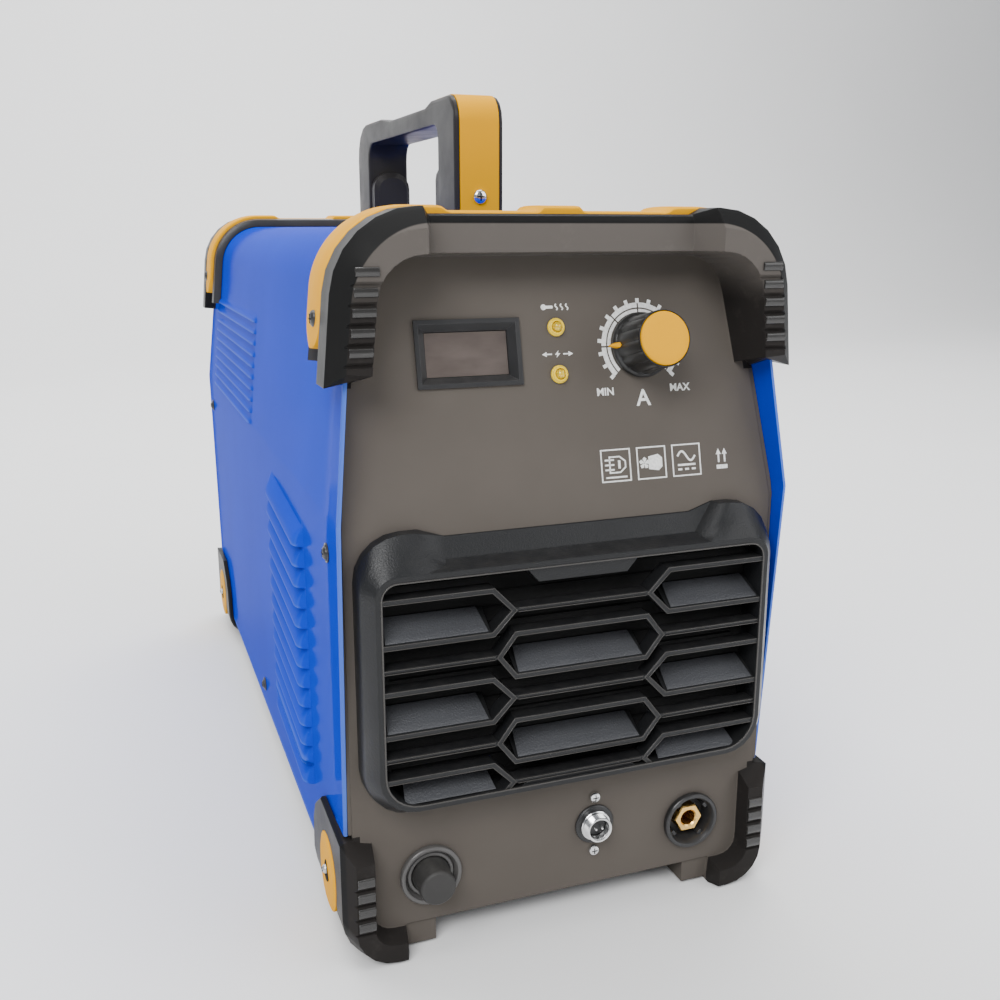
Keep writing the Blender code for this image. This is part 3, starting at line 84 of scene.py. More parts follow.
# ---- node materials
class Shader:
    """Small helper that adds nodes to one material and wires them."""

    def __init__(self, name):
        self.material = bpy.data.materials.new(name)
        self.material.use_nodes = True
        self.tree = self.material.node_tree
        self.surface = self.tree.nodes["Principled BSDF"]
        self.place = self.add("ShaderNodeTexCoord").outputs["Object"]

    def add(self, kind, settings=None, **inputs):
        made = self.tree.nodes.new(kind)
        for key, value in (settings or {}).items():
            setattr(made, key, value)
        for key, value in inputs.items():
            self.feed(made.inputs[key.replace("_", " ")], value)
        return made

    def feed(self, socket, value):
        if isinstance(value, bpy.types.NodeSocket):
            self.tree.links.new(value, socket)
        else:
            socket.default_value = value

    def noise(self, scale, detail=3, roughness=0.55, stretch=None):
        """Noise of so many features per metre, optionally stretched along an axis."""
        place = self.place
        if stretch:
            place = self.add("ShaderNodeMapping", Vector=place, Scale=stretch).outputs[0]
        return self.add("ShaderNodeTexNoise", Vector=place, Scale=scale, Detail=detail,
                        Roughness=roughness).outputs["Fac"]

    def ramp(self, value, low, high, start=0.3, end=0.7, kind="LINEAR"):
        """Map a value between start and end to the range from low to high."""
        return self.add("ShaderNodeMapRange", {"interpolation_type": kind}, Value=value, From_Min=start,
                        From_Max=end, To_Min=low, To_Max=high).outputs["Result"]

    def mix(self, amount, first, second):
        made = self.add("ShaderNodeMix", {"data_type": "RGBA"})
        for index, value in ((0, amount), (6, first), (7, second)):
            self.feed(made.inputs[index], value)
        return made.outputs[2]

    def bump(self, height, strength, distance, normal=None):
        made = self.add("ShaderNodeBump", Height=height, Strength=strength, Distance=distance)
        if normal:
            self.feed(made.inputs["Normal"], normal)
        return made.outputs["Normal"]

    def rounded_edges(self, radius):
        """Normal that rounds hard edges by a small radius."""
        return self.add("ShaderNodeBevel", {"samples": 6}, Radius=radius).outputs["Normal"]

    def calc(self, operation, first, second=0):
        node = self.add("ShaderNodeMath", {"operation": operation})
        self.feed(node.inputs[0], first)
        self.feed(node.inputs[1], second)
        return node.outputs[0]

    def past(self, value, level):
        """How far a value is over a level, and 0 under it."""
        return self.calc("MAXIMUM", self.calc("SUBTRACT", value, level), 0)

    def set(self, **inputs):
        for key, value in inputs.items():
            self.feed(self.surface.inputs[key.replace("_", " ")], value)


def shade(colour, factor):
    return (*[min(channel * factor, 1) for channel in colour], 1)


def moulded(name, colour, roughness, grain=0.18, grain_scale=1500, grain_depth=0.15 * MM,
            mottle=0.10, coat=0, dust=0.05, specular=0.5, edge=0.4 * MM):
    """Moulded plastic: fine texture, uneven gloss, faint flow marks and a little dust on top."""
    made = Shader(name)
    clouds = made.noise(14, 4)
    tone = made.mix(made.ramp(clouds, 0, 1), shade(colour, 1 - mottle), shade(colour, 1 + mottle))
    geometry = made.add("ShaderNodeNewGeometry")
    up = made.add("ShaderNodeSeparateXYZ", Vector=geometry.outputs["Normal"]).outputs["Z"]
    settled = made.ramp(up, 0, dust, 0.55, 1)
    speckle = made.calc("MULTIPLY", settled, made.ramp(made.noise(160, 5), 0.2, 1, 0.4, 0.7))
    tone = made.mix(speckle, tone, (0.55, 0.52, 0.48, 1))
    gloss = made.ramp(made.noise(45, 4), roughness - 0.06, roughness + 0.07)
    fine = made.bump(made.noise(grain_scale, 2, 0.6), grain, grain_depth, made.rounded_edges(edge))
    flow = made.bump(made.noise(30, 2), 0.08, 0.25 * MM, fine)
    made.set(Base_Color=tone, Roughness=gloss, Normal=flow, Coat_Weight=coat, Coat_Roughness=0.12,
             Specular_IOR_Level=specular)
    return made.material


def end_moulding(name, face, inward):
    """Moulded end: matte panel inside the guards, smooth guards with a darker glossy rim, and painted shade that
    makes the guards and feet darker than the hood.
    """
    made = Shader(name)
    calc = made.calc
    x, y, z = made.add("ShaderNodeSeparateXYZ", Vector=made.place).outputs[:3]
    setback, slope = (PANEL_SETBACK, PANEL_SLOPE) if inward > 0 else (REAR_SETBACK, 0)
    depth = calc("MULTIPLY", calc("SUBTRACT", y, face), inward)
    lean = calc("MULTIPLY", made.past(z, NOSE_Z), slope)
    behind = calc("GREATER_THAN", calc("SUBTRACT", depth, lean), setback - 0.5 * MM)
    side = calc("ADD", calc("ABSOLUTE", x), calc("MULTIPLY", made.past(z, BEND_Z), FLARE))
    legs = calc("ADD", calc("LESS_THAN", z, FOOT_TOP_Z), calc("GREATER_THAN", z, GUARD_LEG_Z))
    inside = calc("LESS_THAN", calc("ADD", side, calc("MULTIPLY", legs, LEG_WIDTH)), CASE_HALF)
    panel = calc("MULTIPLY", calc("MULTIPLY", behind, inside), calc("LESS_THAN", z, HOOD_Z))
    out, up = made.past(side, CASE_HALF - CORNER), made.past(z, CASE_TOP - CORNER)
    reach = calc("SQRT", calc("ADD", calc("MULTIPLY", out, out), calc("MULTIPLY", up, up)))
    rim = made.ramp(reach, 0, 1, CORNER + 1.2 * MM, CORNER + 2 * MM, "SMOOTHSTEP")
    clouds = made.ramp(made.noise(14, 4), 0, 1)
    matte = made.mix(clouds, (0.088, 0.077, 0.067, 1), (0.099, 0.087, 0.076, 1))
    scuffs = made.ramp(made.noise(90, 6, 0.7), 0, 1, 0.56, 0.74)
    # painted shade: feet and lower guards get a darker tone (foot) than the hood, chosen by height alone
    hood = made.mix(scuffs, (0.096, 0.086, 0.078, 1), (0.106, 0.096, 0.087, 1))
    foot = made.mix(scuffs, (0.020, 0.018, 0.017, 1), (0.030, 0.027, 0.025, 1))
    gloss = made.mix(made.ramp(z, 0, 1, HOOD_FADE_Z, HOOD_FULL_Z, "SMOOTHSTEP"), foot, hood)
    gloss = made.mix(rim, gloss, (0.013, 0.013, 0.013, 1))
    rough = made.mix(panel, made.ramp(made.noise(40, 4), 0.30, 0.40),
                     made.ramp(made.noise(60, 4), 0.44, 0.56))
    fine = made.bump(made.noise(1500, 2, 0.6), 0.14, 0.14 * MM, made.rounded_edges(0.8 * MM))
    flow = made.bump(made.noise(26, 2), 0.05, 0.2 * MM, fine)
    made.set(Base_Color=made.mix(panel, gloss, matte), Roughness=rough, Normal=flow,
             Specular_IOR_Level=0.05)
    return made.material


def painted(name, colour):
    """Powder coat on sheet steel: orange peel, soft clouding, sparse specks and a painted highlight along pressed
    edges.
    """
    made = Shader(name)
    tone = made.mix(made.ramp(made.noise(9, 3), 0, 1), shade(colour, 0.94), shade(colour, 1.06))
    specks = made.ramp(made.noise(900, 1), 0, 0.35, 0.70, 0.78)
    tone = made.mix(specks, tone, shade(colour, 1.6))
    # painted highlight: convex pressed edges are lit up in a paler blue
    ridge_highlight = made.ramp(made.add("ShaderNodeNewGeometry").outputs["Pointiness"], 0, 0.75, 0.515, 0.60)
    tone = made.mix(ridge_highlight, tone, (0.14, 0.26, 0.66, 1))
    peel = made.bump(made.noise(230, 2, 0.5), 0.02, 0.03 * MM)
    gloss = made.ramp(made.noise(25, 4), 0.30, 0.40)
    made.set(Base_Color=tone, Roughness=gloss, Normal=peel, Coat_Weight=0.10, Coat_Roughness=0.10,
             Coat_IOR=1.40, Specular_IOR_Level=0)
    return made.material


def metal(name, colour, roughness, lines=(60, 60, 900), depth=0.03 * MM, tarnish=0.12):
    """Machined or plated metal: fine tool lines, uneven gloss and slight tarnish."""
    made = Shader(name)
    patches = made.ramp(made.noise(120, 4), 0, 1)
    tone = made.mix(patches, shade(colour, 1 - tarnish), shade(colour, 1 + tarnish * 0.5))
    turned = made.noise(1, 3, stretch=lines)
    gloss = made.ramp(turned, roughness - 0.05, roughness + 0.10)
    made.set(Base_Color=tone, Roughness=gloss, Metallic=1,
             Normal=made.bump(turned, 0.25, depth))
    return made.material


def printed(name, colour):
    """Screen-printed ink: thin, slightly uneven and dulled by the texture under it."""
    made = Shader(name)
    worn = made.ramp(made.noise(700, 3), 0, 1, 0.25, 0.6)
    made.set(Base_Color=made.mix(worn, shade(colour, 0.72), shade(colour, 1)),
             Roughness=made.ramp(made.noise(60), 0.42, 0.6),
             Normal=made.bump(made.noise(1500, 2), 0.25, 0.08 * MM))
    return made.material


def smoked(name, colour):
    """Dark glossy window over a display, with faint smears."""
    made = Shader(name)
    smear = made.noise(30, 4, stretch=(1, 1, 3))
    made.set(Base_Color=made.mix(made.ramp(smear, 0, 1), shade(colour, 0.8), shade(colour, 1.25)),
             Roughness=made.ramp(smear, 0.10, 0.26), Coat_Weight=0.4, Coat_Roughness=0.05,
             Normal=made.bump(made.noise(200), 0.03, 0.05 * MM))
    return made.material


def lens(name, colour):
    """Tinted clear plastic of a panel lamp."""
    made = Shader(name)
    cloud = made.ramp(made.noise(400, 3), 0, 1)
    made.set(Base_Color=made.mix(cloud, shade(colour, 0.85), shade(colour, 1.15)),
             Roughness=made.ramp(made.noise(300), 0.08, 0.2), Transmission_Weight=0.35,
             Subsurface_Weight=0.25, Subsurface_Scale=2 * MM, Coat_Weight=0.6,
             Normal=made.bump(made.noise(500), 0.08, 0.1 * MM))
    return made.material


def board(name, colour):
    """Circuit board: solder resist with the faint relief of its tracks."""
    made = Shader(name)
    cells = made.add("ShaderNodeTexVoronoi", {"distance": "CHEBYCHEV"}, Vector=made.place, Scale=160)
    tracks = made.ramp(cells.outputs["Distance"], 0, 1, 0.30, 0.36)
    made.set(Base_Color=made.mix(tracks, shade(colour, 1.5), shade(colour, 0.8)),
             Roughness=made.ramp(made.noise(80), 0.35, 0.55),
             Normal=made.bump(tracks, 0.3, 0.05 * MM))
    return made.material


def winding(name, colour):
    """Enamelled wire laid turn on turn."""
    made = Shader(name)
    turns = made.add("ShaderNodeTexWave", {"bands_direction": "Z"}, Vector=made.place, Scale=150,
                     Distortion=1.2, Detail=1)
    height = turns.outputs["Fac"]
    # painted shade: the grooves between turns are darker than the tops of the wire
    made.set(Base_Color=made.mix(height, shade(colour, 0.45), shade(colour, 1)), Metallic=0.8,
             Roughness=made.ramp(made.noise(90), 0.3, 0.5), Normal=made.bump(height, 0.8, 0.6 * MM))
    return made.material


FRONT_END = end_moulding("front_moulding_black", FRONT, 1)
REAR_END = end_moulding("rear_moulding_black", REAR, -1)
PAINT = painted("blue_powder_coat", (0.001, 0.033, 0.48))
PANEL_BLACK = moulded("panel_black", (0.050, 0.046, 0.043), 0.42, grain=0.12, mottle=0.08, dust=0.03)
GRAINED = moulded("grained_black", (0.012, 0.0125, 0.0135), 0.36, grain=0.55, grain_scale=1100,
                  grain_depth=0.30 * MM, dust=0.02, edge=0.7 * MM, specular=0.28)
YELLOW = moulded("yellow_plastic", (0.74, 0.345, 0), 0.46, grain=0.08, mottle=0.02, dust=0,
                 specular=0.02)
KNOB_BLACK = moulded("knob_black", (0.012, 0.012, 0.012), 0.34, grain=0.10, mottle=0.15, dust=0.03)
SATIN_BLACK = moulded("satin_black", (0.018, 0.018, 0.019), 0.36, grain=0.12, mottle=0.15)
RUBBER = moulded("cap_rubber", (0.022, 0.021, 0.020), 0.62, grain=0.3, grain_scale=700, mottle=0.2)
RIM_GREY = moulded("rim_grey", (0.085, 0.082, 0.080), 0.34, grain=0.1, mottle=0.12)
WINDOW = smoked("smoked_window", (0.085, 0.068, 0.060))
LAMP_YELLOW = moulded("lamp_yellow", (0.90, 0.62, 0.02), 0.30, grain=0.05, mottle=0.03, dust=0)
AMBER = lens("amber_lens", (0.95, 0.62, 0.03))
BRASS = metal("brass", (0.83, 0.53, 0.17), 0.26)
CHROME = metal("chrome", (0.78, 0.78, 0.78), 0.14)
STEEL = metal("plated_steel", (0.56, 0.56, 0.57), 0.34)
WHITE_INK = printed("white_ink", (0.82, 0.82, 0.80))
# painted highlight: lighter than the grille's black so that the bar edges read bright
HIGHLIGHT_LIP = moulded("polished_lip_painted_highlight", (0.036, 0.033, 0.030), 0.20, grain=0.05, mottle=0.15, dust=0)
# painted light: a lighter copy of the grille's grained black for the lit hexagon floors
PAINTED_LIGHT_PAD = moulded("grained_pad_painted_light", (0.060, 0.062, 0.068), 0.34, grain=0.9, grain_scale=900,
              grain_depth=0.5 * MM, dust=0)
# black of the liner and the air baffle; on screw heads and foot inserts it is painted shade for recesses
BAFFLE_AND_SHADE_BLACK = moulded("baffle_and_painted_shade_black", (0.008, 0.008, 0.008), 0.85, grain=0.3, mottle=0.2, dust=0,
                specular=0.15)
HANDLE = moulded("handle_black", (0.026, 0.024, 0.023), 0.34, grain=0.14, mottle=0.12, dust=0.015,
                specular=0.10)
GUARD_RIB = moulded("guard_rib", (0.020, 0.019, 0.018), 0.20, grain=0.06, mottle=0.2, specular=0.6)

FINISH = {
    "blue_paint": PAINT,
    "black_plastic": PANEL_BLACK,
    "grained_plastic": GRAINED,
    "yellow_plastic": YELLOW,
    "knob_black": KNOB_BLACK,
    "dark_window": WINDOW,
    "amber_lens": AMBER,
    "brass": BRASS,
    "chrome": CHROME,
    "steel": STEEL,
    "zinc_sheet": metal("zinc_sheet", (0.50, 0.52, 0.54), 0.42, lines=(25, 25, 25)),
    "aluminium": metal("aluminium", (0.74, 0.75, 0.77), 0.34, lines=(900, 20, 900)),
    "copper": winding("copper_wire", (0.72, 0.30, 0.12)),
    "ferrite": moulded("ferrite", (0.045, 0.045, 0.05), 0.68, grain=0.5, grain_scale=600),
    "board_green": board("green_board", (0.010, 0.110, 0.035)),
    "red_plastic": moulded("red_plastic", (0.55, 0.02, 0.015), 0.38),
    "sleeve_black": SATIN_BLACK,
}

SPECIAL = {"front_moulding": FRONT_END, "rear_moulding": REAR_END, "handle": HANDLE,
           "display_bezel": SATIN_BLACK, "handle_bracket_front": HANDLE,
           "handle_bracket_rear": HANDLE}
SOFT_SHADED = ("front_moulding", "rear_moulding", "front_grille", "handle", "handle_band_front",
               "handle_band_rear", "foot_insert_front_left", "foot_insert_front_right",
               "foot_insert_rear_left", "foot_insert_rear_right", "cable_gland", "gland_nut",
               "ground_bolt", "fan_guard", "fan_frame", "fan_rotor", "breaker_lever")


# ---- stage
def camera():
    """The view of the machine: from the front left, a little above it."""
    data = bpy.data.cameras.new("camera")
    data.sensor_width = 36
    data.lens = 38.8
    made = bpy.data.objects.new("camera", data)
    made.location = (-0.2249, FRONT - 0.4878, 0.3838)
    made.rotation_euler = (math.radians(90 - 14.18), 0, math.radians(-20.38))
    bpy.context.scene.collection.objects.link(made)
    bpy.context.scene.camera = made


def light(name, place, target, size, power):
    data = bpy.data.lights.new(name, "AREA")
    data.shape = "RECTANGLE"
    data.size, data.size_y = size
    data.energy = power
    made = bpy.data.objects.new(name, data)
    made.location = place
    made.rotation_euler = (Vector(target) - Vector(place)).to_track_quat("-Z", "Y").to_euler()
    bpy.context.scene.collection.objects.link(made)


def stage_finish():
    """Plain pale floor and backdrop."""
    made = Shader("studio_floor")
    pale = made.mix(made.noise(2), (0.84, 0.84, 0.84, 1), (0.88, 0.88, 0.88, 1))
    made.set(Base_Color=pale, Roughness=0.8, Specular_IOR_Level=0.1)
    return made.material


def stage():
    """Pale floor that curves up into a backdrop, and soft lights."""
    near, bend, radius, top, half, steps = -8, 2.4, 1.5, 9, 12, 16
    profile = [(near, 0), (bend, 0)]
    profile += [(bend + radius * math.sin(a), radius - radius * math.cos(a))
                for a in [math.pi / 2 * i / steps for i in range(1, steps + 1)]]
    profile.append((bend + radius, top))
    bm = bmesh.new()
    rows = [[bm.verts.new((x, y, z)) for x in (-half, half)] for y, z in profile]
    for low, high in zip(rows, rows[1:]):
        bm.faces.new((low[0], low[1], high[1], high[0]))
    floor = new_object("floor", bm, stage_finish())
    world = bpy.data.worlds.new("studio")
    world.use_nodes = True
    background = world.node_tree.nodes["Background"]
    background.inputs["Color"].default_value = (0.84, 0.87, 0.92, 1)
    background.inputs["Strength"].default_value = 0.36
    bpy.context.scene.world = world
    light("key", (-1.3, -1.9, 2), (0, -0.2, 0.2), (1.6, 1.2), 76)
    light("fill", (1.8, -1.6, 1.3), (0, -0.1, 0.2), (1.8, 1.8), 30)
    light("overhead", (0, 0.2, 2.6), (0, 0, 0), (2.4, 2.4), 62)
    light("backdrop", (0, 1.4, 3.4), (0, 3.6, 0.9), (4, 1.6), 190)


# ---- mesh helpers
def new_object(name, bm, finish, smooth=35):
    bmesh.ops.recalc_face_normals(bm, faces=bm.faces)
    mesh = bpy.data.meshes.new(name)
    bm.to_mesh(mesh)
    bm.free()
    mesh.shade_smooth()
    mesh.set_sharp_from_angle(angle=math.radians(smooth))
    made = bpy.data.objects.new(name, mesh)
    bpy.context.scene.collection.objects.link(made)
    if finish:
        mesh.materials.append(finish)
    return made


def piece(name, bm, finish, body="housing", smooth=35, matrix=None, replaces=(), bevel=0):
    """A finished piece that rides on a body, with optional rounded edges."""
    if matrix:
        bmesh.ops.transform(bm, matrix=matrix, verts=bm.verts)
    made = new_object(name, bm, finish, smooth)
    if bevel:
        round_edges(made, bevel)
    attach(made, body)
    if replaces:
        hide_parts(*replaces)
    return made


def round_edges(made, width, segments=2, angle=35):
    modifier = made.modifiers.new("edge_round", "BEVEL")
    modifier.width = width
    modifier.segments = segments
    modifier.limit_method = "ANGLE"
    modifier.angle_limit = math.radians(angle)
    modifier.use_clamp_overlap = True
    modifier.harden_normals = True
    return made


def soft_shading(limit=31):
    """Modifier group that shades softly across shallow edges and keeps the rest crisp."""
    group = bpy.data.node_groups.new("soft_shading", "GeometryNodeTree")
    for way in ("INPUT", "OUTPUT"):
        group.interface.new_socket("Geometry", in_out=way, socket_type="NodeSocketGeometry")
    nodes, links = group.nodes, group.links
    weld = nodes.new("GeometryNodeMergeByDistance")
    weld.inputs["Distance"].default_value = 0.01 * MM
    faces = nodes.new("GeometryNodeSetShadeSmooth")
    edges = nodes.new("GeometryNodeSetShadeSmooth")
    edges.domain = "EDGE"
    shallow = nodes.new("FunctionNodeCompare")
    shallow.data_type, shallow.operation = "FLOAT", "LESS_THAN"
    shallow.inputs[1].default_value = math.radians(limit)
    links.new(nodes.new("NodeGroupInput").outputs[0], weld.inputs["Geometry"])
    links.new(weld.outputs[0], faces.inputs["Geometry"])
    links.new(faces.outputs[0], edges.inputs["Geometry"])
    links.new(nodes.new("GeometryNodeInputMeshEdgeAngle").outputs[0], shallow.inputs[0])
    links.new(shallow.outputs[0], edges.inputs["Shade Smooth"])
    links.new(edges.outputs[0], nodes.new("NodeGroupOutput").inputs[0])
    return group


def carried_nodes():
    """Give every CAD node its detailed finish, and shade the rounded mouldings softly."""
    group = soft_shading()
    for name in SOFT_SHADED:
        NODES[name].modifiers.new("soft_shading", "NODES").node_group = group
        NODES[name].modifiers.new("flat_faces", "WEIGHTED_NORMAL").keep_sharp = True
    slots = {row["node"]: row["material_slot"] for row in frame["record"]["subparts"]}
    for name, made in NODES.items():
        made.data.materials.clear()
        made.data.materials.append(SPECIAL.get(name) or FINISH[slots[name]])


# ---- shape tools
def skin(bm, rings, cyclic=False, capped=True):
    """Join equal rings of points; an open run gets an end face at each end."""
    loops = [[bm.verts.new(point) for point in ring] for ring in rings]
    count = len(loops[0])
    pairs = list(zip(loops, loops[1:]))
    if cyclic:
        pairs.append((loops[-1], loops[0]))
    for first, second in pairs:
        for i in range(count):
            j = (i + 1) % count
            bm.faces.new((first[i], first[j], second[j], second[i]))
    if capped and not cyclic:
        bm.faces.new(loops[0])
        bm.faces.new(reversed(loops[-1]))


def both_sides(bm, section, stations):
    """Join sections from the left hem over the top to the right hem; the last station is the middle."""
    skin(bm, [section(-1, at) for at in stations] + [section(1, at) for at in reversed(stations[:-1])])


def turned(bm, profile, segments=64, radius_at=None, middle=(0, 0)):
    """Turn a profile of (radius, height) in mm about local Z; radius_at may reshape it by angle."""
    rings = []
    for radius, height in profile:
        if radius == 0:
            rings.append([bm.verts.new((middle[0] * MM, middle[1] * MM, height * MM))])
            continue
        ring = []
        for i in range(segments):
            angle = math.tau * i / segments
            reach = radius_at(radius, height, angle) if radius_at else radius
            ring.append(bm.verts.new(((middle[0] + reach * math.cos(angle)) * MM,
                                      (middle[1] + reach * math.sin(angle)) * MM, height * MM)))
        rings.append(ring)
    pairs = list(zip(rings, rings[1:]))
    if len(rings[0]) > 1 and len(rings[-1]) > 1:
        pairs.append((rings[-1], rings[0]))
    for first, second in pairs:
        for i in range(segments):
            j = (i + 1) % segments
            if len(first) == 1:
                bm.faces.new((first[0], second[i], second[j]))
            elif len(second) == 1:
                bm.faces.new((first[i], first[j], second[0]))
            else:
                bm.faces.new((first[i], first[j], second[j], second[i]))


def lathe(name, finish, place, profile, segments=48, radius_at=None, body="housing", replaces=()):
    """A piece turned from a profile about the Z of its place."""
    bm = bmesh.new()
    turned(bm, profile, segments, radius_at)
    piece(name, bm, finish, body, matrix=place, replaces=replaces)


def slab(bm, outline, low=INK_LOW, high=INK_HIGH):
    """Extrude an outline of (x, y) in mm along local Z."""
    skin(bm, [[(x * MM, y * MM, level * MM) for x, y in outline] for level in (low, high)])


def stroke(bm, path, width, low=INK_LOW, high=INK_HIGH, closed=False):
    """Raised line of constant width along a path in mm."""
    points = [Vector(p) for p in path]
    count = len(points)
    sides = []
    for i in range(count):
        back = points[i] - points[i - 1] if closed or i else points[1] - points[0]
        ahead = points[(i + 1) % count] - points[i] if closed or i < count - 1 else back
        a, b = Vector((back.y, -back.x)).normalized(), Vector((ahead.y, -ahead.x)).normalized()
        middle = (a + b).normalized()
        sides.append(middle * (width / 2 / max(middle.dot(a), 0.35)))
    rings = []
    for point, side in zip(points, sides):
        right, left = point + side, point - side
        rings.append([(right.x * MM, right.y * MM, low * MM), (right.x * MM, right.y * MM, high * MM),
                      (left.x * MM, left.y * MM, high * MM), (left.x * MM, left.y * MM, low * MM)])
    skin(bm, rings, cyclic=closed)


def arc(radius, start, end, steps=16, centre=(0, 0)):
    """Points of an arc in mm, angles in degrees."""
    return [(centre[0] + radius * math.cos(math.radians(start + (end - start) * i / steps)),
             centre[1] + radius * math.sin(math.radians(start + (end - start) * i / steps)))
            for i in range(steps + 1)]


def frame_at(origin, x_axis, y_axis):
    """Matrix of a local frame whose Z is the cross product of the two axes."""
    x_axis, y_axis = Vector(x_axis).normalized(), Vector(y_axis).normalized()
    z_axis = x_axis.cross(y_axis)
    made = Matrix((x_axis, y_axis, z_axis)).transposed().to_4x4()
    made.translation = Vector(origin)
    return made


PANEL_UP = PANEL_NORMAL.cross(Vector(RIGHT))


def on_panel(dx=0, ds=0):
    """Frame on the control panel: mm to the right of and above the dial's centre, Z outwards."""
    origin = DIAL + Vector((dx * MM, 0, 0)) + PANEL_UP * (ds * MM)
    return frame_at(origin, RIGHT, PANEL_UP)


def middle_of(node):
    low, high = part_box(node)
    return (low + high) / 2


def on_sockets(node):
    """Frame on the upright socket panel over the middle of a node, Z to the front."""
    centre = middle_of(node)
    return frame_at((centre.x, PANEL_Y, centre.z), RIGHT, UP)


def on_side(sign, y, z, x):
    """Frame on a side wall, Z outwards; local X runs along the machine."""
    return frame_at((sign * x, y, z), (0, sign * 1, 0), UP)


def cross_recess_shade(bm, size, low, high):
    """Blades that stand for a cross recess in a screw head; the callers draw them black as painted shade."""
    for angle in (0, 90):
        way = Vector((math.cos(math.radians(angle)), math.sin(math.radians(angle)))) * size
        stroke(bm, [tuple(-way), tuple(way)], size * 0.32, low, high)


# ---- steel cover
LOUVRES, LOUVRE_PITCH, LOUVRE_FIRST = 13, 12.3, 219.5
LOUVRE_START, LOUVRE_END, LOUVRE_RISE = 98, 211, 9.5
VENTS, VENT_PITCH, VENT_FIRST = 10, 8.1, 322
VENT_START, VENT_END = 300, 536


def half_width(z):
    return CASE_HALF - FLARE * max(z - BEND_Z, 0)


def cover_outline():
    """Left side, shoulder and half of the top as dense points of (x, z)."""
    top_x = half_width(CASE_TOP)
    corners = [((-CASE_HALF, BEND_Z), 0.040), ((-top_x, CASE_TOP), CORNER)]
    stops = [Vector((-CASE_HALF, CASE_BOTTOM)), *[Vector(c[0]) for c in corners],
             Vector((0, CASE_TOP))]
    points = [stops[0]]
    for i, (corner, radius) in enumerate(corners, start=1):
        back = (stops[i - 1] - stops[i]).normalized()
        ahead = (stops[i + 1] - stops[i]).normalized()
        half = back.angle(ahead) / 2
        centre = stops[i] + (back + ahead).normalized() * (radius / math.sin(half))
        start = stops[i] + back * (radius / math.tan(half)) - centre
        sweep = math.pi - 2 * half
        steps = max(4, round(math.degrees(sweep) / 4))
        points += [centre + Matrix.Rotation(-sweep * k / steps, 2) @ start for k in range(steps + 1)]
    return points + [stops[-1]]


class Outline:
    """Looks up places and outward normals along a polyline by its length."""

    def __init__(self, points):
        self.points = points
        self.lengths = [0]
        for a, b in zip(points, points[1:]):
            self.lengths.append(self.lengths[-1] + (b - a).length)

    def at(self, length):
        i = 0
        while i < len(self.points) - 2 and self.lengths[i + 1] < length:
            i += 1
        a, b = self.points[i], self.points[i + 1]
        along = (b - a).normalized()
        place = a + along * (length - self.lengths[i])
        return place, Vector((-along.y, along.x))

    def length_at_height(self, z):
        for i, (a, b) in enumerate(zip(self.points, self.points[1:])):
            if b.y >= z > a.y:
                return self.lengths[i] + (b - a).length * (z - a.y) / (b.y - a.y)
        return 0


def scoop(v, depth):
    """Height of a pressed scoop from its top line (0) to its lip, then the drop under it."""
    if 0 <= v <= depth:
        return math.sin(math.pi / 2 * v / depth) ** 0.8
    return 0


def end_fade(y, start, end, front, rear):
    """1 along a scoop, rounding to 0 at both of its ends."""
    if not start < y < end:
        return 0
    first = min((y - start) / front, 1)
    last = min((end - y) / rear, 1)
    return math.sqrt(1 - (1 - first) ** 2) * math.sqrt(1 - (1 - last) ** 2)


def cover_rows(outline):
    """Rows of (length, kind, v): finely spaced over the louvres and the vents."""
    rows = []
    end = outline.lengths[-1]

    def plain(low, high, count):
        for i in range(count):
            rows.append((low + (high - low) * i / count, None, 0))

    louvre_low = outline.length_at_height((LOUVRE_FIRST - LOUVRE_PITCH * LOUVRES) * MM)
    louvre_top = outline.length_at_height(LOUVRE_FIRST * MM)
    vent_top = outline.length_at_height(VENT_FIRST * MM)
    vent_low = vent_top - VENT_PITCH * VENTS * MM
    step_low = outline.length_at_height(FOOT_TOP_Z)
    step_high = outline.length_at_height(COVER_STEP_Z)
    plain(0, louvre_low, 9)
    for i in range(LOUVRES):
        base = louvre_low + LOUVRE_PITCH * MM * i
        for v in (12.3, 11.7, 11.2, 10.7, 10.1, 8.8, 7.2, 5.6, 4, 2.5, 1.1):
            rows.append((base + (LOUVRE_PITCH - v) * MM, "louvre", v))
    plain(louvre_top, vent_low - 0.0005, 6)
    for i in range(VENTS):
        base = vent_low + VENT_PITCH * MM * i
        for v in (8.1, 4.8, 4.3, 3.9, 3.2, 2.2, 1.1):
            rows.append((base + (VENT_PITCH - v) * MM, "vent", v))
    plain(vent_top, end, 46)
    rows.append((end, None, 0))
    for step in (step_low, step_high):
        rows += [(step - 0.00012, None, -1), (step + 0.00012, None, -1)]
    rows.sort(key=lambda row: row[0])
    return rows


def cover_columns():
    """Stations along the side, mm behind the front guard face, after the four of the hem."""
    columns = [40, 52, 66, 80, 92, 97]
    columns += [98 + i * 1.4 for i in range(11)]
    columns += [116 + i * 6.5 for i in range(12)]
    columns += [191 + i * 2 for i in range(11)]
    columns += [222, 240, 260, 280, 296]
    columns += [300 + i * 1.5 for i in range(9)]
    columns += [320 + i * 12 for i in range(17)]
    columns += [522 + i * 2 for i in range(8)]
    return columns + [546, 556]


def edge_setback(z):
    """How far the cover's ends sit behind the guard face, at a height."""
    if z > COVER_STEP_Z or z < FOOT_TOP_Z:
        return 31
    slope = 0.134 if z > BEND_Z else 0.073
    return 1 + abs(z - BEND_Z) / MM * slope


HEM = ((0, -0.5), (0.6, 0.35), (2.6, 0.45), (3.6, 0))


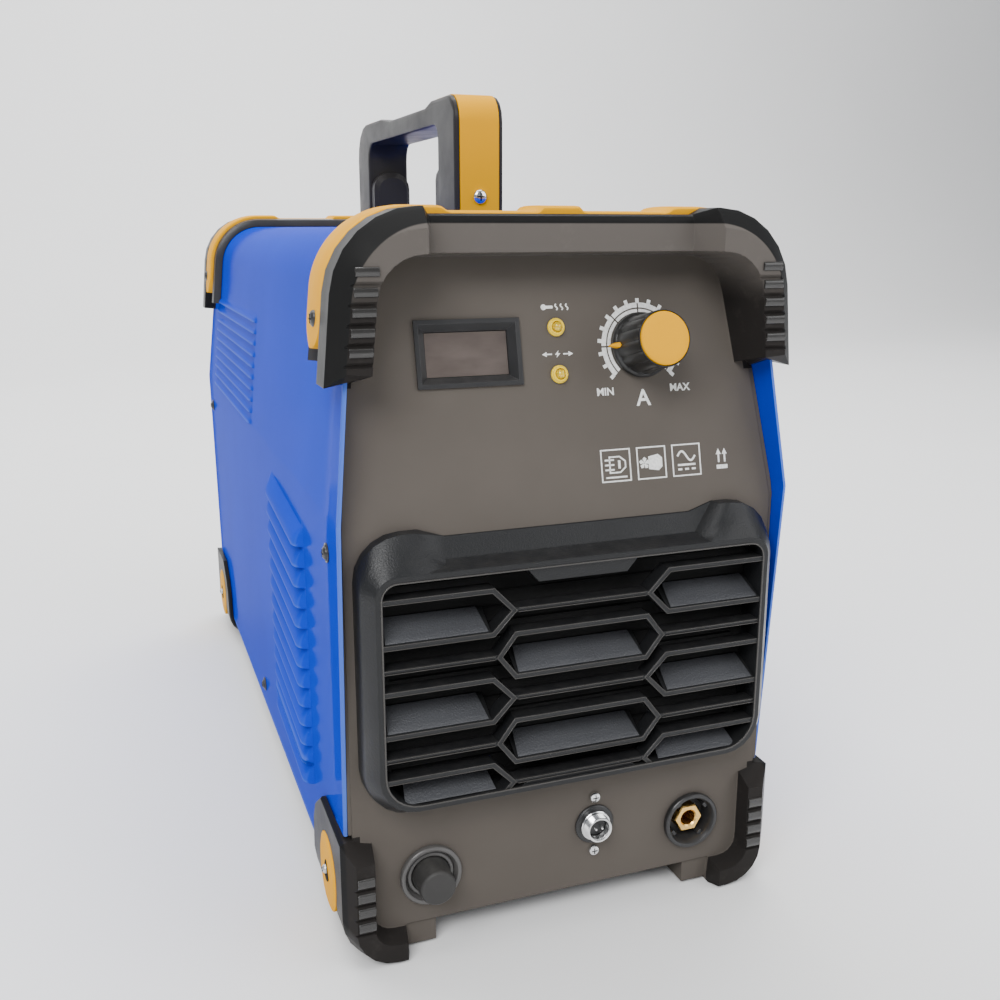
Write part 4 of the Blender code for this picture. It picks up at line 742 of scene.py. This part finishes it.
def cover():
    """Folded steel cover with pressed louvres, rear vents and a rolled hem at both ends."""
    outline = Outline(cover_outline())
    rows = cover_rows(outline)
    columns = cover_columns()
    depth = (REAR - FRONT) / MM
    slant_end = 262 * MM - CASE_BOTTOM
    louvre_low = (LOUVRE_FIRST - LOUVRE_PITCH * LOUVRES) * MM - CASE_BOTTOM
    louvre_top = LOUVRE_FIRST * MM - CASE_BOTTOM

    def lift(y, length):
        """Slant of the louvres: rows rise along them and settle again behind them."""
        if length <= 0 or length > slant_end:
            return 0
        fade = 1
        if length < louvre_low:
            fade = length / louvre_low
        elif length > louvre_top:
            fade = 1 - (length - louvre_top) / (slant_end - louvre_top)
        run = min(max((y - LOUVRE_START) / (LOUVRE_END - LOUVRE_START), 0), 1)
        settle = min(max((290 - y) / (290 - LOUVRE_END), 0), 1)
        return LOUVRE_RISE * MM * run * settle * max(fade, 0)

    def relief(y, kind, v):
        if kind == "louvre":
            return 6.2 * scoop(v, 10.7) * end_fade(y, LOUVRE_START, LOUVRE_END, 8, 16)
        if kind == "vent":
            return 2 * scoop(v, 3.9) * end_fade(y, VENT_START, VENT_END, 9, 14)
        return 0

    def section(sign, row):
        length, kind, v = row
        outer, inner = [], []
        first = edge_setback(outline.at(length)[0].y)
        last = depth - first
        stations = [(first + offset, height) for offset, height in HEM]
        stations += [(y, None) for y in columns if y > first + 5]
        stations = [(first + 4.5, None)] * (len(columns) + len(HEM) - len(stations)) + stations
        stations.sort(key=lambda station: station[0])
        stations += [(last - offset, height) for offset, height in reversed(HEM)]
        for y, height in stations:
            place, normal = outline.at(length + lift(y, length))
            out = (relief(y, kind, v) if height is None else height) * MM
            shown = place + normal * out
            hidden = place - normal * SHEET
            outer.append((sign * -shown.x, FRONT + y * MM, shown.y))
            inner.append((sign * -hidden.x, FRONT + y * MM, hidden.y))
        return outer + inner[::-1]

    bm = bmesh.new()
    both_sides(bm, section, rows)
    piece("cover", bm, PAINT, smooth=50, replaces=("cover_shell",))


def inner_liner():
    """Black insulating sheet folded just inside the cover, behind the panels."""
    outline = Outline(cover_outline())
    count = 48
    end = outline.lengths[-1]

    def section(sign, length):
        place, normal = outline.at(length)
        near, far = place - normal * 1.8 * MM, place - normal * 2.3 * MM
        front = FRONT + 13 * MM + max(place.y - NOSE_Z, 0) * PANEL_SLOPE
        front = max(front, FRONT + 32 * MM if place.y < FOOT_TOP_Z else front)
        rear = REAR_PANEL - 0.5 * MM
        return [(sign * -near.x, front, near.y), (sign * -near.x, rear, near.y),
                (sign * -far.x, rear, far.y), (sign * -far.x, front, far.y)]
    lengths = [8 * MM + (end - 8 * MM) * i / count for i in range(count + 1)]
    bm = bmesh.new()
    both_sides(bm, section, lengths)
    piece("inner_liner", bm, BAFFLE_AND_SHADE_BLACK)


# ---- front
def air_baffle():
    """Black backing close behind the grille, ribbed across."""
    window = [(-107, 97.2), (107, 97.2), (107, 216.4), (-107, 216.4)]
    outline = soft_corners(window, (17.6, 17.6, 7.6, 7.6))
    bm = bmesh.new()
    skin(bm, [[(x * MM, FRONT + y * MM, z * MM) for x, z in outline] for y in (9.9, 10.5)])
    for i in range(14):
        z = 101 + 8.4 * i
        if z < 212:
            skin(bm, [[(x, FRONT + 9.6 * MM, (z - 0.5) * MM), (x, FRONT + 9.6 * MM, (z + 0.5) * MM),
                       (x, FRONT + 8.8 * MM, z * MM)] for x in (-0.100, 0.100)])
    piece("air_baffle", bm, BAFFLE_AND_SHADE_BLACK)


def soft_corners(points, radii, steps=6):
    """Closed outline with its corners rounded to the given radii."""
    result = []
    for i, (point, radius) in enumerate(zip(points, radii)):
        corner = Vector(point)
        back = (Vector(points[i - 1]) - corner).normalized()
        ahead = (Vector(points[(i + 1) % len(points)]) - corner).normalized()
        half = back.angle(ahead) / 2
        centre = corner + (back + ahead).normalized() * (radius / math.sin(half))
        start = corner + back * (radius / math.tan(half)) - centre
        sweep = start.angle_signed(corner + ahead * (radius / math.tan(half)) - centre)
        result += [tuple(centre + Matrix.Rotation(-sweep * k / steps, 2) @ start)
                   for k in range(steps + 1)]
    return result


HEX_HALF, HEX_PITCH = 11.7, 48
SIDE_HEX_Z, CENTRE_HEX_Z = 196, 171.5
SIDE_FLAT, SIDE_TIP, CENTRE_FLAT, CENTRE_TIP = 49.8, 38.5, 37.5, 46.5
FRAME_INNER = 107


def hexagon(z, flat, tip, grow):
    """Outline of a centre hexagon whose sides are moved out by grow."""
    half = HEX_HALF + grow
    flat, tip = flat + grow * 0.45, tip + grow * 1.15
    return [(-flat, z + half), (flat, z + half), (tip, z), (flat, z - half), (-flat, z - half),
            (-tip, z)]


def grille_lips():
    """Fine polished lips along both edges of every bar of the grille, painted lighter than the grille as a
    highlight.
    """
    bm = bmesh.new()
    matrix = frame_at((0, FRONT - 7.4 * MM, 0), RIGHT, UP)

    def line(path, closed=False):
        stroke(bm, path, 0.40, -0.35, 0.22, closed)
    for i in range(3):
        z = SIDE_HEX_Z - HEX_PITCH * i
        for sign in (-1, 1):
            for grow in (-1.15, 1.15):
                half = HEX_HALF + grow
                flat, tip = SIDE_FLAT - grow * 0.45, SIDE_TIP - grow * 1.15
                path = [(FRAME_INNER, z + half), (flat, z + half), (tip, z), (flat, z - half),
                        (FRAME_INNER, z - half)]
                if i == 2:
                    path = path[:3] + [(tip + 5.6, z - 5.5)]
                line([(sign * x, level) for x, level in path])
    for i in range(2):
        for grow in (-1.15, 1.15):
            line(hexagon(CENTRE_HEX_Z - HEX_PITCH * i, CENTRE_FLAT, CENTRE_TIP, grow), True)
    for i in range(3):
        z = SIDE_HEX_Z - HEX_PITCH * i
        for side in (-0.95, 0.95):
            line([(-SIDE_TIP + 2.4, z + side), (SIDE_TIP - 2.4, z + side)])
    for i in range(2):
        z = CENTRE_HEX_Z - HEX_PITCH * i
        for side in (-0.95, 0.95):
            for sign in (-1, 1):
                line([(sign * (CENTRE_TIP + 2.4), z + side), (sign * FRAME_INNER, z + side)])
    window = [(-107.6, 96.4), (107.6, 96.4), (107.6, 217.2), (-107.6, 217.2)]
    stroke(bm, soft_corners(window, (18.4, 18.4, 8.4, 8.4)), 0.8, 0.3, 0.85, True)
    piece("grille_lips", bm, HIGHLIGHT_LIP, matrix=matrix, smooth=60)


def grille_pads():
    """Grained pads on the sloped floors of the hexagons, painted lighter than the grille as the light falling on
    the floors.
    """
    bm = bmesh.new()

    def pad(low, high, z):
        rings = []
        for depth, rise, draw in ((-6, 1.45, 0.6), (9, 10, 2.6)):
            a, b = low + draw, high - draw
            rings.append([(x * MM, FRONT + depth * MM, (z + rise + thick) * MM)
                          for x, thick in ((a, 0), (b, 0), (b, 0.5), (a, 0.5))])
        skin(bm, rings)
    for i in range(2):
        z = SIDE_HEX_Z - HEX_PITCH * i - HEX_HALF
        pad(SIDE_FLAT + 1.6, FRAME_INNER - 0.6, z)
        pad(-FRAME_INNER + 0.6, -SIDE_FLAT - 1.6, z)
        pad(-CENTRE_FLAT + 1.2, CENTRE_FLAT - 1.2, CENTRE_HEX_Z - HEX_PITCH * i - HEX_HALF)
    for low, high in ((SIDE_TIP + 9, FRAME_INNER - 9), (9 - FRAME_INNER, -SIDE_TIP - 9)):
        pad(low, high, 95.6)
    piece("grille_pads", bm, PAINTED_LIGHT_PAD, bevel=0.15 * MM)


def ink(name, bm, dx=0, ds=0):
    return piece(name, bm, WHITE_INK, matrix=on_panel(dx, ds))


def dial_scale():
    """Toothed ring and inner ring round the knob, cut into eighths."""
    bm = bmesh.new()
    for eighth in range(6):
        start = 225 - 45 * eighth
        end = start - 45
        for inner, outer in ((17.7, 19.5), (20.3, 22.9)):
            gap = math.degrees(0.45 / outer)
            band = arc(outer, start - gap, end + gap) + arc(inner, end + gap, start - gap)
            slab(bm, band)
    for k in range(-8, 9):
        angle = math.radians(90 + 16.5 * k)
        way = Vector((math.cos(angle), math.sin(angle)))
        stroke(bm, [tuple(way * 22.6), tuple(way * 25.2)], 2)
    ink("dial_scale", bm)


def lettering(name, words, height, dx, ds, heavy=0):
    """Generic printed letters as thin raised ink."""
    curve = bpy.data.curves.new(name, "FONT")
    curve.body = words
    curve.size = height * 1.42 * MM
    curve.align_x = "CENTER"
    curve.align_y = "CENTER"
    curve.extrude = 0.05 * MM
    curve.offset = heavy * MM
    source = bpy.data.objects.new(name, curve)
    bpy.context.scene.collection.objects.link(source)
    depsgraph = bpy.context.evaluated_depsgraph_get()
    mesh = bpy.data.meshes.new_from_object(source.evaluated_get(depsgraph))
    bpy.data.objects.remove(source, do_unlink=True)
    bm = bmesh.new()
    bm.from_mesh(mesh)
    bpy.data.meshes.remove(mesh)
    bmesh.ops.remove_doubles(bm, verts=bm.verts, dist=1e-6)
    bmesh.ops.translate(bm, vec=(0, 0, 0.09 * MM), verts=bm.verts)
    ink(name, bm, dx, ds)


def mark(name, dx, ds, *shapes):
    """Printed symbol of (width, path) lines, (width, path, True) rings and (None, outline) areas."""
    bm = bmesh.new()
    for width, path, *closed in shapes:
        if width:
            stroke(bm, path, width, closed=bool(closed))
        else:
            slab(bm, path)
    ink(name, bm, dx, ds)


LAMP_DX = (middle_of("overheat_led").x - DIAL.x) / MM
HEAT_DS = (middle_of("overheat_led") - DIAL).dot(PANEL_UP) / MM
SURGE_DS = (middle_of("overcurrent_led") - DIAL).dot(PANEL_UP) / MM
ICON_DX = (-19.8, 1.5, 22.8, 44.8)
ICON_DS = -63.2
MARK_DS = 10.6                                   # marks over the lamps
BOX = (0.75, [(-8.4, -8.4), (8.4, -8.4), (8.4, 8.4), (-8.4, 8.4)], True)


def lamp_marks():
    """Thermometer with waves of heat, and a bolt between two arrowheads."""
    bulb = arc(1.5, 30, 330, 14, (-6, 0)) + [(-1, -0.75), (-0.6, 0), (-1, 0.75)]
    waves = [(0.7, [(start + 0.6 * math.sin(math.radians(t * 36)), -1.6 + t * 0.32)
                    for t in range(11)]) for start in (1.2, 4.2, 7.2)]
    mark("heat_mark", LAMP_DX, HEAT_DS + MARK_DS, (None, bulb), *waves)
    bolt = [(0.6, 1.9), (-1.6, -0.3), (-0.2, -0.3), (-0.7, -1.9), (1.6, 0.4), (0.2, 0.4)]
    arrows = []
    for side in (-1, 1):
        head = [(side * 8.8, 0), (side * 6.2, 1.3), (side * 6.2, -1.3)]
        arrows += [(0.7, [(side * 3.2, 0), (side * 6.4, 0)]), (None, head[::int(side)])]
    mark("surge_mark", LAMP_DX, SURGE_DS + MARK_DS, (None, bolt), *arrows)


def icons():
    """Boxed plug, motor with fan and sine over direct current, then two arrows up over a bar."""
    plug = [(-3.6, 4.6), (2.4, 4.6), (5.6, 2), (5.6, -1.2), (2.4, -3.8), (-3.6, -3.8)]
    pins = [(0.9, [(-6.4, level), (-1, level)]) for level in (3, 0.4, -2.2)]
    mark("plug_icon", ICON_DX[0], ICON_DS, BOX, (0.8, plug, True), *pins,
         (1.4, [(2, -1.8), (2, 2.6)]), (0.9, [(-6.2, -6.3), (6.2, -6.3)]))
    motor = [(-1.8, 3.4), (4, 4.4), (6.4, 2.4), (6.4, -2.4), (4, -4.4), (-1.8, -3.4)]
    blades = []
    for k in range(5):
        turn = Matrix.Rotation(math.tau * k / 5, 2)
        blade = [turn @ Vector(p) for p in ((0.3, 0), (1.3, 2.4), (0, 3.3), (-1.1, 2.2))]
        blades.append((None, [(p.x - 4.3, p.y) for p in blade]))
    mark("fan_icon", ICON_DX[1], ICON_DS, BOX, (None, motor), *blades)
    wave = [(-5.4 + 0.45 * t, 2.2 + 2.6 * math.sin(math.radians(t * 15))) for t in range(25)]
    dashes = [(1.1, [(x - 1.2, -5), (x + 1.2, -5)]) for x in (-4.2, 0, 4.2)]
    mark("wave_icon", ICON_DX[2], ICON_DS, BOX, (1.1, wave), (1.1, [(-5.4, -2.6), (5.4, -2.6)]),
         *dashes)
    arrows = []
    for x in (-1.9, 1.9):
        arrows += [(1, [(x, -2.8), (x, 2)]), (None, [(x - 1.6, 1.6), (x + 1.6, 1.6), (x, 4.8)])]
    mark("upright_icon", ICON_DX[3], ICON_DS, *arrows,
         (None, [(-3.4, -6.4), (3.4, -6.4), (3.4, -4.2), (-3.4, -4.2)]))


def printing():
    dial_scale()
    lettering("low_end_letters", "MIN", 4, -22.7, -24, 0.12)
    lettering("high_end_letters", "MAX", 4, 21.9, -23.6, 0.12)
    lettering("ampere_letter", "A", 8.6, -0.5, -28.4, 0.2)
    lamp_marks()
    icons()


def knob():
    """Fluted knob with its skirt, pointer, dark rim and crowned yellow cap."""
    def fluted(radius, height, angle):
        if not 5.5 < height < 26.5 or radius < 12:
            return radius
        wave = abs(math.sin(angle * 7))
        return radius - 0.9 * (1 - wave) ** 1.6

    lathe("knob_grip", KNOB_BLACK, on_panel(), [
        (0, 20), (3.4, 20), (3.4, 1), (16.9, 1), (17.4, 1.6), (17.4, 3), (16.9, 3.8),
        (15.9, 4.6), (15.7, 6.5), (15.5, 10), (15.3, 16), (15.1, 22), (15, 26.2), (14.9, 27.2),
        (14.7, 27.8), (14.35, 27.8), (14.2, 27.2), (14.2, 25.4), (0, 25.4)], 168, fluted, "knob",
        ("current_knob",))
    lathe("knob_face", YELLOW, on_panel(), [
        (0, 25.7), (13.9, 25.7), (13.9, 27.9), (13.6, 28.5), (12.9, 28.9), (9, 29.1), (0, 29.25)],
        96, None, "knob", ("knob_cap",))
    bm = bmesh.new()
    skin(bm, [[(-x * MM, y * MM, z * MM) for x, y, z in ring] for ring in (
        ((14.6, -2, 3.4), (14.6, 2, 3.4), (14.6, 1.5, 7.4), (14.6, -1.5, 7.4)),
        ((16.6, -1.6, 3.4), (16.6, 1.6, 3.4), (16.6, 1, 6.4), (16.6, -1, 6.4)),
        ((20.6, -0.2, 3.2), (20.6, 0.2, 3.2), (20.6, 0.15, 4.2), (20.6, -0.15, 4.2)))])
    piece("knob_arrow", bm, YELLOW, "knob", matrix=on_panel(), bevel=0.2 * MM,
          replaces=("knob_pointer",))


def lamp(name, ds):
    """Panel lamp: stepped yellow bezel and a domed lens."""
    place = on_panel(LAMP_DX, ds)
    lathe(f"{name}_lamp_bezel", LAMP_YELLOW, place, [
        (2.9, -6), (3.8, -6), (3.8, 0.2), (4.7, 0.2), (4.75, 1), (4.5, 1.5), (4.1, 1.6),
        (3.9, 2.3), (3.5, 2.6), (3.1, 2.5), (2.9, 2.2)], replaces=(f"{name}_led_bezel",))
    lathe(f"{name}_lamp_lens", AMBER, place, [
        (0, -5.5), (2.6, -5.5), (2.6, 2.2), (2.4, 3.1), (1.8, 3.9), (1, 4.4), (0, 4.6)],
        replaces=(f"{name}_led",))


def control_socket():
    """Threaded metal shell with a knurled ring, keyed insert, two pins and two screws."""
    place = on_sockets("control_insert")

    def knurled(radius, height, angle):
        return radius - (0.25 * abs(math.sin(angle * 24)) if radius > 11 else 0)

    lathe("socket_flange", SATIN_BLACK, place,
          [(7.9, 0.3), (11.8, 0.3), (11.8, 1.3), (11.2, 1.8), (7.9, 1.8)], 96, knurled)
    threads = [(5.7, -9), (7.5, -9), (7.5, 2), (9, 2), (9, 3.4), (8.6, 3.8), (7.8, 3.9)]
    for k in range(4):
        threads += [(7.6, 4.1 + k), (7.2, 4.5 + k)]
    threads += [(7.6, 8.2), (7.3, 8.6), (6.9, 8.6), (6.2, 8.3), (5.8, 7.6)]
    lathe("socket_shell", CHROME, place, threads, 72, replaces=("control_socket",))
    lathe("socket_insert", SATIN_BLACK, place,
          [(0, -10.5), (5.4, -10.5), (5.4, 3.2), (5, 3.6), (0, 3.6)], replaces=("control_insert",))
    bm = bmesh.new()
    for x in (-1.9, 1.9):
        turned(bm, [(0, 3.3), (0.75, 3.3), (0.75, 7.2), (0.5, 7.8), (0, 8)], 20, middle=(x, 0.2))
    piece("socket_pins", bm, CHROME, matrix=place)
    for name in ("control_screw_upper", "control_screw_lower"):
        lathe(f"{name}_head", CHROME, on_sockets(name), [
            (0, -8), (1.6, -8), (1.6, 0.3), (3.3, 0.3), (3.25, 1.1), (2.7, 1.9), (1.6, 2.3),
            (0, 2.4)], 40, replaces=(name,))
        bm = bmesh.new()
        # painted shade: black blades stand for the shade inside the cross recess
        cross_recess_shade(bm, 1.7, 2.1, 2.5)
        piece(f"{name}_slot", bm, BAFFLE_AND_SHADE_BLACK, matrix=on_sockets(name))


def output_sockets():
    """Moulded bodies with a thin rim; a brass hexagon on the right, a cap on the left."""
    for side, finish in (("left", RIM_GREY), ("right", SATIN_BLACK)):
        place = on_sockets(f"output_socket_{side}")
        lathe(f"socket_body_{side}", finish, place, [
            (7.7, -34), (14.2, -34), (14.2, 0.2), (17, 0.2), (17.2, 0.8), (17.1, 3),
            (16.6, 3.6), (15.6, 3.8), (14.8, 3.5), (14.3, 2.6), (13.4, 1), (13.3, -9),
            (7.7, -9)], 96, replaces=(f"output_socket_{side}",))
        if side == "left":
            lathe("socket_collar_left", finish, place, [
                (10.9, -6), (13, -6), (13.2, 0.6), (12.6, 1.3), (11.4, 1.5), (10.9, 1.2)], 72)
            continue
        bm = bmesh.new()
        for k in range(4):
            way = Matrix.Rotation(math.tau * (k + 0.4) / 4, 2)
            key = [way @ Vector(p) for p in ((11.4, -1.6), (13.4, -1.6), (13.4, 1.6), (11.4, 1.6))]
            slab(bm, [tuple(p) for p in key], -8.8, 0.6)
        piece(f"socket_keys_{side}", bm, SATIN_BLACK, matrix=place, bevel=0.2 * MM)

    def hexed(radius, height, angle):
        if radius < 6 or height < -9:
            return radius
        step = math.radians(60)
        return radius * 0.93 / math.cos((angle % step) - step / 2)

    lathe("brass_contact_right", BRASS, on_sockets("output_contact_right"), [
        (0, -44), (7.2, -44), (7.2, -9.5), (8.5, -9.2), (8.5, -1.2), (7.9, -0.5), (5.4, -0.4),
        (4.6, -1.2), (4.5, -2), (4.5, -26), (0, -26)], 96, hexed,
        replaces=("output_contact_right",))
    lathe("push_in_cap", RUBBER, on_sockets("output_cap"), [
        (0, -20), (4.2, -20), (4.2, -1), (9.6, -1), (10.5, 0.4), (10.5, 3.4), (10.1, 4.4),
        (9.9, 14.2), (9.6, 15.4), (8.8, 16.1), (6, 16.35), (0, 16.4)], 72, None, "plug_cap",
        ("output_cap",))


def screw_head(name, place, radius, finish, recess, node=None):
    """Pan head with a cross recess drawn as black blades of painted shade, sunk in a shallow cup if recess is set.
    """
    lathe(name, finish, place, [
        (0, -1), (radius, -1), (radius, 0.5), (radius * 0.93, 1.3), (radius * 0.7, 2),
        (radius * 0.4, 2.3), (0, 2.4)], replaces=(node,) if node else ())
    bm = bmesh.new()
    cross_recess_shade(bm, radius * 0.55, 2, 2.5)
    piece(f"{name}_slot", bm, BAFFLE_AND_SHADE_BLACK, matrix=place)
    if recess:
        lathe(f"{name}_cup", recess, place, [
            (radius + 0.2, -0.6), (radius + 1.5, -0.6), (radius + 1.6, 0.3), (radius + 1.2, 0.7),
            (radius + 0.4, 0.3)])


def cover_screws():
    for sign, side in SIDES:
        for index, (y, z) in enumerate(((30, 225), (300, 42), (567, 219)), start=1):
            place = on_side(sign, FRONT + y * MM, z * MM, CASE_HALF + 0.3 * MM)
            screw_head(f"cover_screw_{side}_{index}", place, 3.6, SATIN_BLACK, SATIN_BLACK)


def panel_flanges():
    """Moulded edges of both end panels that close them against the cover's sides."""
    for name, finish, face, inward, slope in (
            ("front_panel_flanges", FRONT_END, PANEL_Y, 1, PANEL_SLOPE),
            ("rear_panel_flanges", REAR_END, REAR_PANEL, -1, 0)):
        bm = bmesh.new()
        for sign in (-1, 1):
            rings = []
            for level in (75.5, 120, 180, 230, 238.7, 245, 252, 270, 290, 315):
                z = level * MM
                y = face + max(z - NOSE_Z, 0) * slope + inward * 0.5 * MM
                inner, outer = half_width(z) - 10 * MM, half_width(z) - SHEET - 0.25 * MM
                rings.append([(sign * inner, y, z), (sign * outer, y, z),
                              (sign * outer, y + inward * 4 * MM, z),
                              (sign * inner, y + inward * 4 * MM, z)])
            skin(bm, rings)
        piece(name, bm, finish)


def rib_bar(bm, low_x, high_x, z, height, face, inward):
    """Rounded rib across a guard's face at y = face; inward is 1 at the front and -1 at the rear."""
    half = height / 2
    section = [(1, -half), (-0.5, -half), (-1.1, -half + 0.8), (-1.3, 0.3), (-1.1, half - 0.5),
               (-0.4, half), (1, half)]
    skin(bm, [[(x, face + inward * depth * MM, (z + rise) * MM) for depth, rise in section]
              for x in (low_x, high_x)])


def guard_ribs():
    """Ribs across the faces of the upper guards and of the feet, front and rear."""
    for name, face, inward in (("front", FRONT, 1), ("rear", REAR, -1)):
        bm = bmesh.new()
        for sign in (-1, 1):
            for i in range(5):
                z = 364.4 - 9.15 * i
                wall = half_width(z * MM)
                rib_bar(bm, sign * (wall - 10.3 * MM), sign * (wall + 1 * MM), z, 4.4, face, inward)
            for i in range(-1, 3):
                rib_bar(bm, sign * 113.2 * MM, sign * 122.4 * MM, 44.3 - 8.7 * i, 5.6, face, inward)
        piece(f"{name}_guard_ribs", bm, GUARD_RIB, bevel=0.25 * MM)


def along_case(bm, start_z, section_at):
    """Loft a section of (mm behind the front, mm above the cover) over the case, side to side."""
    outline = Outline(cover_outline())
    start, end = outline.length_at_height(start_z), outline.lengths[-1]
    corner = outline.length_at_height(CASE_TOP - 0.3 * CORNER) - 30 * MM
    lengths = [start + k * MM for k in (0.3, 1, 2.2, 4, 6.5, 9.5, 13, 17.5)]
    lengths += [corner + (end - corner) * i / 56 for i in range(56) if corner > lengths[-1]]
    lengths.append(end)

    def ring(sign, length):
        place, normal = outline.at(length)
        points = []
        for y, height in section_at(length - start, place):
            point = place + normal * (height * MM)
            points.append((sign * -point.x, FRONT + y * MM, point.y))
        return points
    both_sides(bm, ring, lengths)


def trim_bands():
    """Crowned yellow bands behind the guards, higher at the corners and over the middle."""
    profile = [(-1, 0.3), (-1, -1.6), (-0.95, -0.7), (-0.6, -0.15), (0, 0), (0.6, -0.15),
               (0.95, -0.7), (1, -1.6), (1, 0.3)]
    for node in ("front_trim", "rear_trim"):
        low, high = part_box(node)
        middle, half = ((low.y + high.y) / 2 - FRONT) / MM, (high.y - low.y) / 2 / MM

        def section_at(run, place):
            fade = min(run / (half * MM), 1)
            reach = half * math.sqrt(1 - (1 - fade) ** 2)
            x = abs(place.x) / MM
            raised = max(min((x - 60) / 4, 1), min((12.5 - x) / 2, 1), 0)
            top = 8 + 2.6 * raised
            return [(middle + across * reach, drop if drop > 0 else top + drop)
                    for across, drop in profile]
        bm = bmesh.new()
        along_case(bm, TRIM_TIP_Z, section_at)
        piece(f"{node}_band", bm, YELLOW, replaces=(node,), smooth=40)


def trim_borders():
    """Black lips of the end mouldings beside the yellow bands, towards the middle of the case."""
    for name, start, width in (("front_trim_lip", 62.6, 2), ("rear_trim_lip", 523.2, 6.2)):
        def section_at(run, place):
            return [(start, 0.25), (start + 0.2, 5.2), (start + 1, 6.4), (start + width - 0.4, 7.4),
                    (start + width, 6.4), (start + width, 0.25)]
        bm = bmesh.new()
        along_case(bm, TRIM_TIP_Z - 8 * MM, section_at)
        piece(name, bm, SATIN_BLACK, smooth=40)


def trim_screws():
    """Dark screws low on the legs of the yellow bands."""
    for end, y, z in (("front", 40, 341), ("rear", 552, 341)):
        for sign, side in SIDES:
            place = on_side(sign, FRONT + y * MM, z * MM, half_width(z * MM) + 10.2 * MM)
            screw_head(f"{end}_trim_screw_{side}", place, 4.2, SATIN_BLACK, None)


def handle_screws():
    """Plated cross-head screws through both ends of the handle."""
    for end, way in (("front", 1), ("rear", -1)):
        low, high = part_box(f"handle_screw_{end}")
        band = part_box(f"handle_band_{end}")
        y = band[0].y if way > 0 else band[1].y
        place = frame_at((0, y, (low.z + high.z) / 2), (way, 0, 0), UP)
        screw_head(f"handle_bolt_{end}", place, 4.4, CHROME, None, f"handle_screw_{end}")


def foot_hole_shades():
    """Black D-shaped patch of painted shade for the pocket in each yellow foot insert, with a screw in it."""
    outline = arc(7, -60, 60, 12) + arc(2, 120, 240, 6, (-3.5, 0))
    for end, y in (("front", 44), ("rear", 548)):
        for sign, side in SIDES:
            place = on_side(sign, FRONT + y * MM, 38 * MM, FOOT_FACE_X)
            bm = bmesh.new()
            turn = Matrix.Rotation(math.radians(-90), 2)
            # painted shade: a flat black patch stands for the dark inside of the pocket
            slab(bm, [tuple(turn @ Vector(p)) for p in outline], 0.05, 0.35)
            piece(f"{end}_foot_pocket_shade_{side}", bm, BAFFLE_AND_SHADE_BLACK, matrix=place)
            screw_head(f"{end}_foot_screw_{side}", place, 2.6, STEEL, None)


# ---- build
camera()
stage()
carried_nodes()
cover()
inner_liner()
air_baffle()
printing()
knob()
lamp("overheat", HEAT_DS)
lamp("overcurrent", SURGE_DS)
grille_lips()
grille_pads()
control_socket()
output_sockets()
cover_screws()
panel_flanges()
guard_ribs()
trim_bands()
trim_borders()
trim_screws()
foot_hole_shades()
handle_screws()
